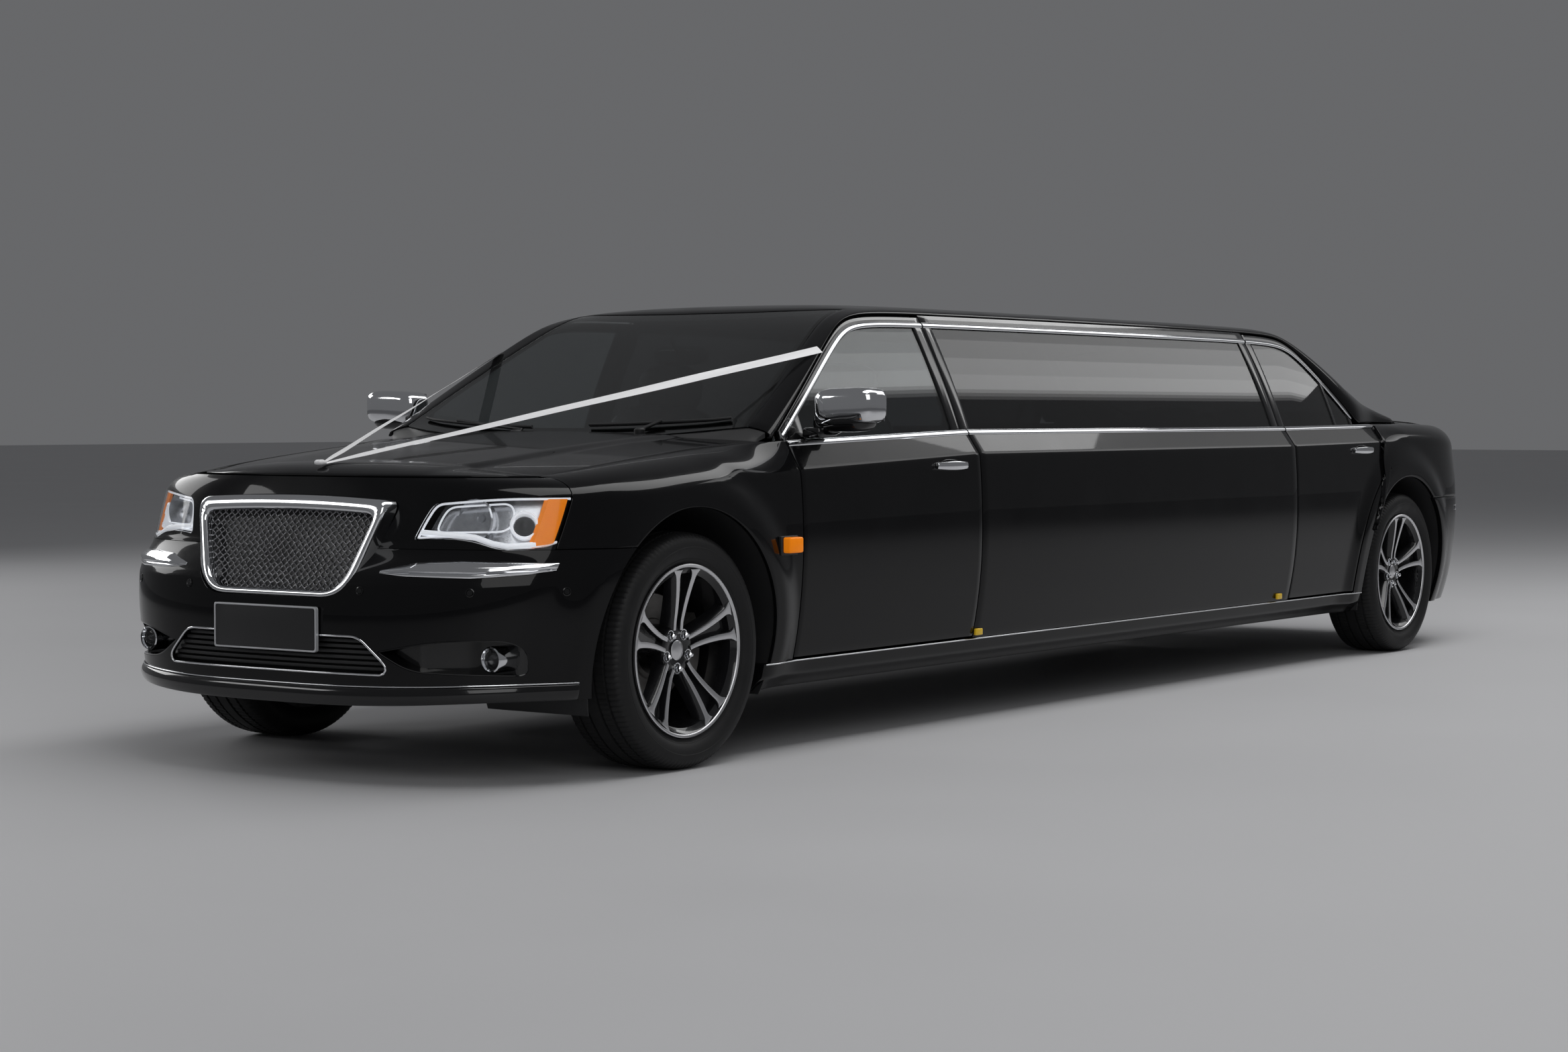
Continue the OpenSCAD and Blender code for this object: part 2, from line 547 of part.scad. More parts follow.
module dashboard() color([0.1, 0.1, 0.105]) {
  translate([0, 700, 0]) rotate([90, 0, 0]) linear_extrude(1400)
    polygon([[xf - 494.3, 560], [xf - 494.3, 960], [xf - 640, 985], [xf - 800, 960], [xf - 880, 900], [xf - 840, 760],
      [xf - 760, 640]]);
  translate([xf - 860, -370, 800]) rotate([0, -62, 0]) translate([0, 0, 60]) {
    rotate_extrude() translate([175, 0]) circle(r = 15, $fn = 16);
    translate([0, 0, -130]) cylinder(r = 32, h = 130);
    translate([0, 0, -16]) cylinder(r = 70, h = 34);
    for (a = [0, 180, 270]) rotate(a) translate([40, -16, -8]) cube([125, 32, 16]);
  }
}
module seat(w) rotate([90, 0, 0]) linear_extrude(w, center = true)
  polygon([[0, 0], [460, 0], [520, 60], [520, 200], [470, 240], [150, 225], [60, 420], [-60, 780], [-110, 960],
    [-190, 950], [-200, 780], [-120, 300], [-60, 60]]);
module front_seats() color([0.12, 0.12, 0.125]) for (y = [-390, 390])
  translate([xf - 1480, y, 255.3]) seat(520);
module lounge_seats() color([0.16, 0.15, 0.145]) {
  translate([xr + 620, 0, 255.3]) seat(1240);
  translate([x_rear_door + 300, -560, 255.3]) cube([stretch_len - 900, 420, 330]);
  translate([x_rear_door + 300, -780, 255.3]) cube([stretch_len - 900, 210, 720]);
}

// Ribbon from the hood's tip to a windscreen pillar, drawn taut
ribbon_w = 38;
module ribbons() color([0.95, 0.95, 0.94]) both() {
  e = top_pt(0.6, 74, -0.6);
  p = [xf + 640, 3, hood_pt(0.93, 0, 0)[2] + 0.5];
  d = (e - p) / norm(e - p);
  side = [-d[1], d[0], 0] / norm([d[1], d[0]]);
  ts = steps(0, 0.99, 12);
  a = [for (w = [-0.5, 0.5]) [for (t = ts) lerp(p, e, t) + side * w * ribbon_w * min(1, 0.15 + 6 * t)]];
  slab([for (r = a) [for (q = r) q + [0, 0, 1.6]]], [for (r = a) [for (q = r) q + [0, 0, 0.6]]]);
}

// Lids
function seam_y(x) = side_y(x, belt_z(x)) - shut;
hood_shut = 10;
function hood_y(x) = side_y(x, belt_z(x)) - hood_shut - 15 * unit((x_door + 155 - x) / 97);
hood_front_z = belt_z(x_lamp);
function hood_pt(u, c, t) = let (
    f = nose_pt(c * nose_q(x_lamp - 2, hood_front_z, 0), hood_front_z, 8), r = lerp(xf - 362, x_door + 68, c * c),
    x = lerp(r, f[0], u), ys = hood_y(min(x, x_lamp)),
    e = nose_pt(nose_q(x_lamp - 2, hood_front_z, 0), hood_front_z, 8),
    y = lerp(c, f[1] / e[1], ease(u)) * ys,
    w = min(1, abs(y) / ys), top = belt_z(x) + 38 * (1 - w * w))
  [x, y, lerp(top, hood_front_z + 1, pow(u, 18)) - t];
module hood() color([0.015, 0.015, 0.017]) union() {
  us = concat([for (x = belt_xs()) if (x < x_lamp - 60) (x - x_door - 68) / (x_lamp - x_door - 70)], [0.94, 0.97, 0.99, 1]);
  cs = steps(-1, 1, 14);
  difference() {
    slab([for (u = us) [for (c = cs) hood_pt(u, c, 0)]], [for (u = us) [for (c = cs) hood_pt(u, c, 20)]]);
    both() translate([hood_axis[0] - 40, 762.5, hood_axis[1] - 40]) cube([60, 31, 80]);
  }
  both() lid_arm(hood_axis, 1, 750);
}
deck_rear = -1046;
function deck_pt(u, c, t) = let (
    a = lerp(xr - 394, xr - 322, c * c), f = tail_pt(c * tail_at(seam_y(xr - 900), 1000, 0), 1000, -4),
    x = lerp(f[0], a, u), ys = seam_y(max(x, xr - 900)), y = c * ys, w = abs(c))
  [x, y, belt_z(x) + 34 * (1 - w * w) - t];
module trunk_lid() color([0.015, 0.015, 0.017]) union() {
  us = steps(0, 1, 8);
  cs = steps(-1, 1, 14);
  slab([for (u = us) [for (c = cs) deck_pt(u, c, 0)]], [for (u = us) [for (c = cs) deck_pt(u, c, 22)]]);
  zs = steps(700 + shut, 1036, 6);
  a = [for (z = zs) [for (c = cs) tail_pt(c * tail_at(648, z, 0), z, 0)]];
  b = [for (z = zs) [for (c = cs) tail_pt(c * tail_at(648, z, 26), z, 26)]];
  slab(a, b);
  both() lid_arm(deck_axis, -1, 700);
}
// Hinge arm and pin under a lid, eye and bracket on the body
deck_axis = [xr - 270, belt_z(xr - 290) - 8];
hood_axis = [x_door + 62, belt_z(x_door + 62) - 12];
module lid_arm(at, way, y) translate([at[0], y, at[1]]) {
  rotate([-90, 0, 0]) cylinder(r = 6, h = 40);
  rotate([-90, 0, 0]) cylinder(r = 12, h = 12);
  translate([way > 0 ? 0 : -120, 0, -12]) cube([120, 12, 16]);
}
module lid_eye(at, y, down) translate([at[0], y + 18, at[1]]) difference() {
  union() {
    rotate([-90, 0, 0]) cylinder(r = 11, h = 20);
    translate([-9, 0, -down]) cube([18, 20, down]);
  }
  translate([0, -1, 0]) rotate([-90, 0, 0]) cylinder(r = 6 + fit, h = 22);
}

// Doors
module hinge_pocket(x) for (z = hinge_zs)
  translate([x - hinge_gap - hinge_back - 20, door_inner - 20, z - 45])
    cube([hinge_back + 60, hinge_y() + 13 - door_inner + 20, 90]);
module hinge_pins(x) for (z = hinge_zs)
  translate([x - hinge_gap - hinge_back, hinge_y(), z - 50]) cylinder(r = hinge_pin, h = 100, $fn = 32);
module door_front() {
  x0 = x_door_rear + shut;
  x1 = x_door - hinge_gap;
  difference() {
    wall(function(z) x0, function(z) x1, 7, sill_top, 24);
    hinge_pocket(x_door);
  }
  hinge_pins(x_door);
  pane(concat([x0], front_xs(0), [x1 - 70, x1]), function(x) max(window_z(x), belt_z(x) - 26),
    function(x) window_z(x) + 36, 1, 0, 24);
  pane([x0, x0 + 28, x0 + 56], function(x) belt_z(x) - 26, function(x) window_z(x) + 12, 5, 0, 24);
  pane([x1 - 140, x1 - 70, x1 - 20], function(x) belt_z(x) - 26, function(x) window_z(x) + 12, 4, 0, 24);
}
module door_front_left() color([0.015, 0.015, 0.017]) door_front();
module door_front_right() color([0.015, 0.015, 0.017]) mirror([0, 1, 0]) door_front();
module glass_front() pane(front_xs(0.4), function(x) belt_z(x) + 0.4, function(x) window_z(x) - 0.4, 5, 9, 9 + glass_t);
module glass_front_left() color([0.2, 0.22, 0.23, 0.4]) glass_front();
module glass_front_right() color([0.2, 0.22, 0.23, 0.4]) mirror([0, 1, 0]) glass_front();

quarter_bar = 480;
module door_rear() {
  x1 = x_rear_door - hinge_gap;
  difference() {
    wall(function(z) rear_door_x(z) + hinge_gap, function(z) x1, 8, sill_top, 24);
    hinge_pocket(x_rear_door);
  }
  hinge_pins(x_rear_door);
  pane(concat([xr + 352], corner_xs(0), rear_xs(0), [x1]), function(x) max(window_z(x), belt_z(x) - 26),
    function(x) window_z(x) + 36, 1, 0, 24);
  pane([x1 - 56, x1 - 28, x1], function(x) belt_z(x) - 26, function(x) window_z(x) + 12, 5, 0, 24);
  pane([xr + quarter_bar - 12, xr + quarter_bar + 12], function(x) belt_z(x) - 26, function(x) window_z(x) + 12,
    6, 0, 24);
  pane([xr + 352, xr + 366, xr + 380], function(x) belt_z(x) - 26, function(x) window_z(x) + 20, 4, 0, 24);
}
module door_rear_left() color([0.015, 0.015, 0.017]) door_rear();
module door_rear_right() color([0.015, 0.015, 0.017]) mirror([0, 1, 0]) door_rear();
module glass_rear() {
  pane(rear_xs(0.4), function(x) belt_z(x) + 0.4, function(x) window_z(x) - 0.4, 5, 9, 9 + glass_t);
  pane(corner_xs(0.4), function(x) belt_z(x) + 0.4, function(x) window_z(x) - 0.4, 4, 9, 9 + glass_t);
}
module glass_rear_left() color([0.1, 0.11, 0.12, 0.5]) glass_rear();
module glass_rear_right() color([0.1, 0.11, 0.12, 0.5]) mirror([0, 1, 0]) glass_rear();

module handle(x) translate([x, side_y(x, crease_z(x) - 39) + 0.9, crease_z(x) - 28]) {
  translate([-95, 14, -14]) cube([190, 12, 28]);
  for (d = [-90, 66]) translate([d, 0, -11]) cube([24, 15, 22]);
}
module trim_front() {
  x0 = x_door_rear + shut;
  x1 = x_door - hinge_gap;
  pane(steps(x0 + 2, x1 - 20, 12), function(x) max(window_z(x), belt_z(x)) - 2, function(x) window_z(x) + 16, 1, -5, -0.3);
  strip(steps(x0, x1, 7), function(x) belt_z(x) - 16, function(x) belt_z(x) - 1, 1, -6, -0.3);
  handle(x0 + 200);
}
module trim_front_left() color([0.8, 0.81, 0.83]) trim_front();
module trim_front_right() color([0.8, 0.81, 0.83]) mirror([0, 1, 0]) trim_front();
module trim_rear() {
  x1 = x_rear_door - hinge_gap;
  pane(steps(xr + 360, x1 - 2, 12), function(x) max(window_z(x), belt_z(x)) - 2, function(x) window_z(x) + 16, 1, -5, -0.3);
  strip(steps(xr + 330, x1, 7), function(x) belt_z(x) - 16, function(x) belt_z(x) - 1, 1, -6, -0.3);
  handle(xr + 462);
}
module trim_rear_left() color([0.8, 0.81, 0.83]) trim_rear();
module trim_rear_right() color([0.8, 0.81, 0.83]) mirror([0, 1, 0]) trim_rear();

module mirror_pod() translate([x_door - 112, 0, 0]) {
  translate([-30, 834.8, 1009]) cube([60, 72, 30]);
  translate([-26, 885, 1020]) cube([52, 40, 60]);
  translate([0, 990, 1110]) intersection() {
    sphere(r = 125);
    translate([-62, -118, -62]) cube([124, 236, 124]);
  }
}
module mirror_left() color([0.8, 0.81, 0.83]) mirror_pod();
module mirror_right() color([0.8, 0.81, 0.83]) mirror([0, 1, 0]) mirror_pod();

// Wheels, axis along Y, outer face toward +Y
module wheel() rotate([-90, 0, 0]) difference() {
  union() {
    rotate_extrude($fn = 96) polygon([[236, -112], [rim_r, -112], [rim_r, -100], [246, -90], [240, -60], [240, 60],
      [246, 90], [rim_r, 100], [rim_r, 112], [254, 112], [234, 96], [230, 60], [230, -100]]);
    translate([0, 0, -60]) cylinder(r = 78, h = 134);
    translate([0, 0, -60]) cylinder(r = 172, h = 26, $fn = 96);
    intersection() {
      cylinder(r = 237, h = 120, $fn = 96);
      for (k = [0:4], d = [-1, 1]) rotate(90 + 72 * k)
        translate([0, 0, 44]) linear_extrude(60)
          polygon([[d * 2, 60], [d * 34, 56], [d * 66, 150], [d * 82, 236], [d * 44, 236], [d * 30, 150]]);
    }
  }
  translate([0, 0, -61]) cylinder(r = 31 + fit, h = 98);
  rotate_extrude() polygon([[0, 66], [90, 72], [225, 98], [225, 140], [0, 140]]);
}
module tyre() rotate([-90, 0, 0]) rotate_extrude($fn = 96) {
  w = tyre_w / 2;
  polygon([[246.5, -88.5], [rim_r, -98.5], [276, -104], [300, -w + 2], [322, -w], [342, -w + 6], [356, -w + 18],
    [tyre_r - 2, -82], [tyre_r, -60], [tyre_r, 60], [tyre_r - 2, 82], [356, w - 18], [342, w - 6], [322, w],
    [300, w - 2], [276, 104], [rim_r, 98.5], [246.5, 88.5], [240.4, 60], [240.4, -60]]);
}
module at_wheel(x) translate([x, half_track, tyre_r]) children();
module wheel_front_left() color([0.55, 0.55, 0.57]) at_wheel(xf) wheel();
module wheel_front_right() color([0.55, 0.55, 0.57]) mirror([0, 1, 0]) at_wheel(xf) wheel();
module wheel_rear_left() color([0.55, 0.55, 0.57]) at_wheel(xr) wheel();
module wheel_rear_right() color([0.55, 0.55, 0.57]) mirror([0, 1, 0]) at_wheel(xr) wheel();
module tyre_front_left() color([0.03, 0.03, 0.03]) at_wheel(xf) tyre();
module tyre_front_right() color([0.03, 0.03, 0.03]) mirror([0, 1, 0]) at_wheel(xf) tyre();
module tyre_rear_left() color([0.03, 0.03, 0.03]) at_wheel(xr) tyre();
module tyre_rear_right() color([0.03, 0.03, 0.03]) mirror([0, 1, 0]) at_wheel(xr) tyre();

chassis();
side_sills();
wings();
stretch_panels();
quarters();
roof();
windscreen();
rear_window();
side_glass();
front_bumper();
rear_bumper();
headlamps();
headlamp_lenses();
grille_surround();
grille_mesh();
lower_grille();
fog_pockets();
fog_lamps();
tail_lamps();
marker_lamps();
bright_strips();
engine();
front_arms();
rear_axle();
exhaust();
fuel_tank();
dashboard();
front_seats();
lounge_seats();
ribbons();
hood();
trunk_lid();
door_front_left();
door_front_right();
door_rear_left();
door_rear_right();
glass_front_left();
glass_front_right();
glass_rear_left();
glass_rear_right();
trim_front_left();
trim_front_right();
trim_rear_left();
trim_rear_right();
mirror_left();
mirror_right();
knuckle_left();
knuckle_right();
wheel_front_left();
wheel_front_right();
wheel_rear_left();
wheel_rear_right();
tyre_front_left();
tyre_front_right();
tyre_rear_left();
tyre_rear_right();
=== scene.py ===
import math

import bmesh
import bpy
from mathutils import Matrix, Vector


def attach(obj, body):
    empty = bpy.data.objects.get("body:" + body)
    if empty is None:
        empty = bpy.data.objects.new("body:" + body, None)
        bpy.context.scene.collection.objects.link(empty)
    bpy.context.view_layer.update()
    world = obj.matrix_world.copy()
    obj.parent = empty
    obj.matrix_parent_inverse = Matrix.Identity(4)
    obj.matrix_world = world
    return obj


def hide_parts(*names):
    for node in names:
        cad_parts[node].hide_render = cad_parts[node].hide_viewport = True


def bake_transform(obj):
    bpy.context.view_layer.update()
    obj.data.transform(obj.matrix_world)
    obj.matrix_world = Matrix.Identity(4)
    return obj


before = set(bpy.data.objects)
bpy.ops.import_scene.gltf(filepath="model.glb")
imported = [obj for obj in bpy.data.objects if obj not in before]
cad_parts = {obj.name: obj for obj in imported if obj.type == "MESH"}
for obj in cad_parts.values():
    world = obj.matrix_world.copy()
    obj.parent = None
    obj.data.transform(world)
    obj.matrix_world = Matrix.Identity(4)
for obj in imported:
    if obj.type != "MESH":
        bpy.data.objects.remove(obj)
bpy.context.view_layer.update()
MM = 0.001

# The body's own lines, in millimetres: X forward, Y to the left, Z up
XF, XR = 2840.0, -2600.0  # front and rear wheel centres
FRONT_DOOR_LEN, REAR_DOOR_LEN = 1115, 1150
X_DOOR = XF - 590  # the front door's leading edge
X_DOOR_REAR = X_DOOR - FRONT_DOOR_LEN
X_REAR_DOOR = XR + REAR_DOOR_LEN  # the rear door's leading edge
QUARTER_FRONT = XR + 215  # the rear quarter's edge above the arch
QUARTER_BAR = XR + 550  # the bar between the rear door's two panes
X_LAMP = XF + 444  # where the wing's top edge meets the headlamp
TAIL_EDGE = XR - 800  # the tail lamps' front edge
HALF_W, SILL_BOTTOM, SILL_TOP, WIDE_Z = 930.0, 205.0, 300.0, 680.0
BELT_FRONT, BELT_REAR, BELT_DROP = 1000, 1046, 98
CREASE_FRONT, CREASE_REAR, CREASE_DROP = 903, 962, 75
SILL_IN, CREASE_IN = 42, 12  # how far the side leans in at the sill and at the crease
TYRE_R, ARCH_R, HALF_TRACK = 364.0, 440.0, 805.0
ARCH_SWELL, SWELL_FLAT, SWELL_FADE = 24, 40, 125  # the arch's lip: height, flat part and fade
NOSE_FROM, TAIL_FROM = XF + 100, XR - 150  # where the plan view starts to round in
NOSE_N, TAIL_N = 3.0, 3.4  # how square that rounding is
DOOR_INNER = 805.0
SHUT = 5.0  # the gap between panels
BUMPER_TOP = 690.0
GLASS_EDGE = 60  # degrees from the crown at which the screens end
CROWN = 34  # the hood's and the lid's rise at the middle


def mix(a, b, t):
    return a + (b - a) * t


def unit(t):
    return min(1.0, max(0.0, t))


def ease(t):
    u = unit(t)
    return u * u * (3 - 2 * u)


def span(a, b, n):
    """n + 1 evenly spaced values."""
    return [mix(a, b, i / n) for i in range(n + 1)]


def soft_min(a, b, k):
    """The lesser of two values, rounded over where they meet."""
    return (a + b - math.sqrt((a - b) ** 2 + k * k)) / 2


def on_wing(x):
    return ease((x - X_DOOR + 20) / 380)


def on_tail(x):
    return ease((XR + 330 - x) / 420)


def along(x):
    """Share of the belt's and the crease's rise that is reached at x."""
    if x > X_DOOR_REAR:
        return 0.7 * unit((X_DOOR - x) / FRONT_DOOR_LEN)
    if x > X_REAR_DOOR:
        return 0.7 + 0.08 * (X_DOOR_REAR - x) / (X_DOOR_REAR - X_REAR_DOOR)
    return 0.78 + 0.22 * unit((X_REAR_DOOR - x) / REAR_DOOR_LEN)


def belt_z(x):
    if x > X_DOOR:
        return BELT_FRONT - BELT_DROP * unit((x - X_DOOR) / (X_LAMP - X_DOOR)) ** 1.35
    return mix(BELT_FRONT, BELT_REAR, along(x)) - 10 * ease((XR - x) / 1000)


def crease_z(x):
    if x > X_DOOR:
        return CREASE_FRONT - CREASE_DROP * ease((x - X_DOOR) / 1000)
    return mix(CREASE_FRONT, CREASE_REAR, along(x)) - 40 * ease((XR - x) / 1000)


def swell(x, z, xw):
    """How far the lip of a wheel arch stands out."""
    from_arch = math.hypot(x - xw, z - TYRE_R) - ARCH_R
    return ARCH_SWELL * (1 - ease((from_arch - SWELL_FLAT) / SWELL_FADE))


def inset(x, z):
    """How far the side leans in from its widest height."""
    zc, zb = crease_z(x), belt_z(x)
    if z <= WIDE_Z:
        return SILL_IN * ((WIDE_Z - z) / (WIDE_Z - SILL_TOP)) ** 2
    if z <= zc:
        return CREASE_IN * ((z - WIDE_Z) / (zc - WIDE_Z)) ** 2
    t = unit((z - zc) / (zb - zc))
    belt_in = 72 + 118 * on_wing(x) + 78 * on_tail(x)
    round_over = max(on_wing(x), on_tail(x))
    return CREASE_IN + (belt_in - CREASE_IN) * mix(t, 1 - math.sqrt(1 - t * t), round_over)


def nose_x(z):
    """The nose's foremost X at a height."""
    low = 10 * ((330 - z) / 125) ** 2 if z < 330 else 0
    shelf = 14 * unit((z - 470) / 130) ** 2 + 88 * ease((z - 585) / 125)
    return XF + 875 - low - shelf - 0.36 * max(0, z - 700)


def tail_x(z):
    """The tail's rearmost X at a height."""
    low = 40 * ((380 - z) / 175) ** 2 if z < 380 else 0
    high = 70 * ((z - 600) / 450) ** 1.6 if z > 600 else 0
    return XR - 1115 + low + high


def wrap(t, n):
    return (1 - unit(t) ** n) ** (1 / n)


def side_y(x, z):
    """Half the body's width at a place on its side."""
    nose = wrap((x - NOSE_FROM) / (nose_x(z) - NOSE_FROM), NOSE_N)
    tail = wrap((TAIL_FROM - x) / (TAIL_FROM - tail_x(z)), TAIL_N)
    return (HALF_W - inset(x, z) + swell(x, z, XF) + swell(x, z, XR)) * nose * tail


def nose_pt(q, z, deep=0.0):
    """Point of the nose at an angle from the middle, some way under the skin."""
    span = nose_x(z) - NOSE_FROM
    c = math.cos(q) ** (2 / NOSE_N)
    y = side_y(NOSE_FROM + span * c, z) * (1 - deep / HALF_W)
    return (NOSE_FROM + (span - deep) * c, math.copysign(y, q), z)


def nose_q(x, z, deep=0.0):
    t = (x - NOSE_FROM) / (nose_x(z) - NOSE_FROM - deep)
    return math.acos(unit(t) ** (NOSE_N / 2))


def angle_at(point, y, z, deep):
    """Angle at which a line of the nose or tail lies a distance from the middle."""
    lo, hi = 0.0, math.pi / 2 - 0.02
    for _ in range(26):
        mid = (lo + hi) / 2
        if point(mid, z, deep)[1] < abs(y):
            lo = mid
        else:
            hi = mid
    return lo


def nose_at(y, z, deep=0.0):
    """Point of the nose at a height and a distance from the middle."""
    p = nose_pt(angle_at(nose_pt, y, z, deep), z, deep)
    return (p[0], math.copysign(p[1], y), z)


def tail_pt(q, z, deep=0.0):
    span = TAIL_FROM - tail_x(z)
    c = math.cos(q) ** (2 / TAIL_N)
    y = side_y(TAIL_FROM - span * c, z) * (1 - deep / HALF_W)
    return (TAIL_FROM - (span - deep) * c, math.copysign(y, q), z)


def tail_q(x, z, deep=0.0):
    t = (TAIL_FROM - x) / (TAIL_FROM - tail_x(z) - deep)
    return math.acos(unit(t) ** (TAIL_N / 2))


def tail_angle(y, z, deep=0.0):
    return angle_at(tail_pt, y, z, deep)


def glass_y(x, z):
    t = z - belt_z(x)
    return HALF_W - 94 - 0.36 * t - 0.00023 * t * t - 30 * unit((XR + 900 - x) / 900) ** 2


def window_z(x):
    front = 1002 + 0.655 * (X_DOOR - 12 - x)
    rear = 1052 + 0.85 * (x - XR - 330)
    return soft_min(soft_min(front, 1402, 70), rear, 90)


def rail_z(x):
    return max(window_z(x) + 44, belt_z(x) + 6)


def crown_z(x):
    front = 1008 + 0.54 * (XF - 420 - x)
    rear = 1086 + 0.43 * (x - XR + 340)
    return soft_min(soft_min(front, 1490, 60), rear, 60)


def rail_y(x):
    return glass_y(x, rail_z(x)) - 45 * ease((XR + 330 - x) / 400)


def top_pt(s, g, deep=0.0):
    """Point of the roof and screens, g degrees from the crown.

    s is 0 at the windscreen's foot, 1 and 2 at the roof's ends and 3 at the rear screen's foot.
    """
    b = min(1.0, abs(g) / GLASS_EDGE) ** 2
    ends = (mix(XF - 425, X_DOOR + 40, b), mix(XF - 1275, XF - 1335, b),
            mix(XR + 500, XR + 560, b), mix(XR - 340, XR - 250, b))
    k = min(2, int(s))
    x = mix(ends[k], ends[k + 1], s - k)
    f = math.radians(90 - abs(g))
    cf, sf = max(0.0, math.cos(f)), max(0.0, math.sin(f))
    z0 = rail_z(x)
    y = rail_y(x) * cf ** 0.8 - deep * cf
    z = z0 + (crown_z(x) - z0) * sf ** 0.8 - deep * sf
    return (x, math.copysign(y, g), z)


def lamp_edge(z):
    return XF + 528 - 0.44 * (z - 712)


def arch_dx(z):
    return math.sqrt(max(0.0, ARCH_R ** 2 - (z - TYRE_R) ** 2))


def rear_door_x(z):
    bow = math.sqrt(max(0.0, 516 ** 2 - (z - TYRE_R) ** 2)) if z < 860 else 0
    return max(QUARTER_FRONT, XR + bow)


HOOD_FRONT_Z = belt_z(X_LAMP)


def hood_edge_y(x):
    return side_y(x, belt_z(x)) - SHUT


def hood_pt(u, c, deep=0.0):
    """Point of the hood: u runs from its rear edge to its tip, c from side to side."""
    edge = nose_q(X_LAMP - 2, HOOD_FRONT_Z)
    f = nose_pt(c * edge, HOOD_FRONT_Z, 6)
    e = nose_pt(edge, HOOD_FRONT_Z, 6)
    r = mix(XF - 362, X_DOOR + 68, c * c)
    x = mix(r, f[0], u)
    ys = hood_edge_y(min(x, X_LAMP))
    y = mix(c, f[1] / e[1], ease(u)) * ys
    w = min(1.0, abs(y) / ys)
    # raised middle with a crease each side that runs in toward the tip
    ridge = mix(0.62, 0.36, ease(u))
    t = unit((abs(c) - ridge) / 0.10)
    relief = 9 * (1 - ease(t)) * (1 - 0.6 * ease((u - 0.75) / 0.25))
    top = belt_z(x) + CROWN * (1 - w * w) + relief
    return (x, y, mix(top, HOOD_FRONT_Z + 1, u ** 18) - deep)


LID_SIDE_X = XR - 900  # the lid's side edges run parallel behind this
LID_BACK_Z = 1000


def deck_pt(u, c, deep=0.0):
    """Point of the trunk lid's top: u runs from its back edge forward, c from side to side."""
    a = mix(XR - 394, XR - 322, c * c)
    edge = tail_angle(side_y(LID_SIDE_X, belt_z(LID_SIDE_X)) - SHUT, LID_BACK_Z)
    f = tail_pt(c * edge, LID_BACK_Z, -4)
    x = mix(f[0], a, u)
    xc = max(x, LID_SIDE_X)
    y = c * (side_y(xc, belt_z(xc)) - SHUT)
    return (x, y, belt_z(x) + CROWN * (1 - c * c) - deep)


# Making and finishing pieces
def only(o):
    """Selects one piece for the next operator."""
    bpy.ops.object.select_all(action="DESELECT")
    o.select_set(True)
    bpy.context.view_layer.objects.active = o
    return o


def use(o, kind, **settings):
    """Adds a modifier and applies it."""
    m = o.modifiers.new(kind.lower(), kind)
    for key, value in settings.items():
        setattr(m, key, value)
    only(o)
    bpy.ops.object.modifier_apply(modifier=m.name)
    return o


def outward(o, way):
    """Turns an open sheet's faces so that they look along way(centre)."""
    total = sum(p.normal.dot(way(p.center)) * p.area for p in o.data.polygons)
    if total < 0:
        o.data.flip_normals()
    return o


def edit_all(o, *steps):
    """Runs edit-mode operators, each with its settings, on the whole of a piece."""
    only(o)
    bpy.ops.object.mode_set(mode="EDIT")
    bpy.ops.mesh.select_all(action="SELECT")
    for operator, settings in steps:
        operator(**settings)
    bpy.ops.object.mode_set(mode="OBJECT")
    return o


def closed_normals(o):
    """Turns a closed solid's faces outward."""
    return edit_all(o, (bpy.ops.mesh.normals_make_consistent, {"inside": False}))


def away(p):
    """Outward direction on the car's body at a point."""
    return Vector((0.25 * p.x, p.y, p.z - 0.6))


def sheet(name, nu, nv, place, way=away):
    """A grid primitive laid onto place(u, v)."""
    bpy.ops.object.select_all(action="DESELECT")
    bpy.ops.mesh.primitive_grid_add(x_subdivisions=nu, y_subdivisions=nv, size=2)
    o = bpy.context.object
    o.name = o.data.name = name
    for v in o.data.vertices:
        v.co = Vector(place((v.co.x + 1) / 2, (v.co.y + 1) / 2)) * MM
    o.data.update()
    return outward(o, way)


def from_faces(name, verts, faces):
    me = bpy.data.meshes.new(name)
    me.from_pydata([Vector(v) * MM for v in verts], [], faces)
    me.validate()
    o = bpy.data.objects.new(name, me)
    bpy.context.collection.objects.link(o)
    return closed_normals(o)


def flat_grid(name, nu, nv):
    """A grid primitive of nu by nv faces."""
    bpy.ops.object.select_all(action="DESELECT")
    bpy.ops.mesh.primitive_grid_add(x_subdivisions=nu, y_subdivisions=nv, size=2, calc_uvs=False)
    o = bpy.context.object
    o.name = o.data.name = name
    return o


def column_row(vertex, nu, nv):
    """A flat grid's vertex as its column and row."""
    return round((vertex.co.x + 1) / 2 * nu), round((vertex.co.y + 1) / 2 * nv)


def slab(name, nu, nv, outer, inner):
    """A closed solid: a grid extruded once, its two sides laid onto outer(u, v) and inner(u, v)."""
    o = edit_all(flat_grid(name, nu, nv), (bpy.ops.mesh.extrude_region, {}))
    for vertex in o.data.vertices:
        i, j = column_row(vertex, nu, nv)
        place = inner if vertex.select else outer
        vertex.co = Vector(place(i / nu, j / nv)) * MM
    o.data.update()
    return closed_normals(o)


def shell(name, nu, nv, at, d0, d1):
    """A closed solid between at(u, v, d0) and at(u, v, d1)."""
    return slab(name, nu, nv, lambda u, v: at(u, v, d0), lambda u, v: at(u, v, d1))


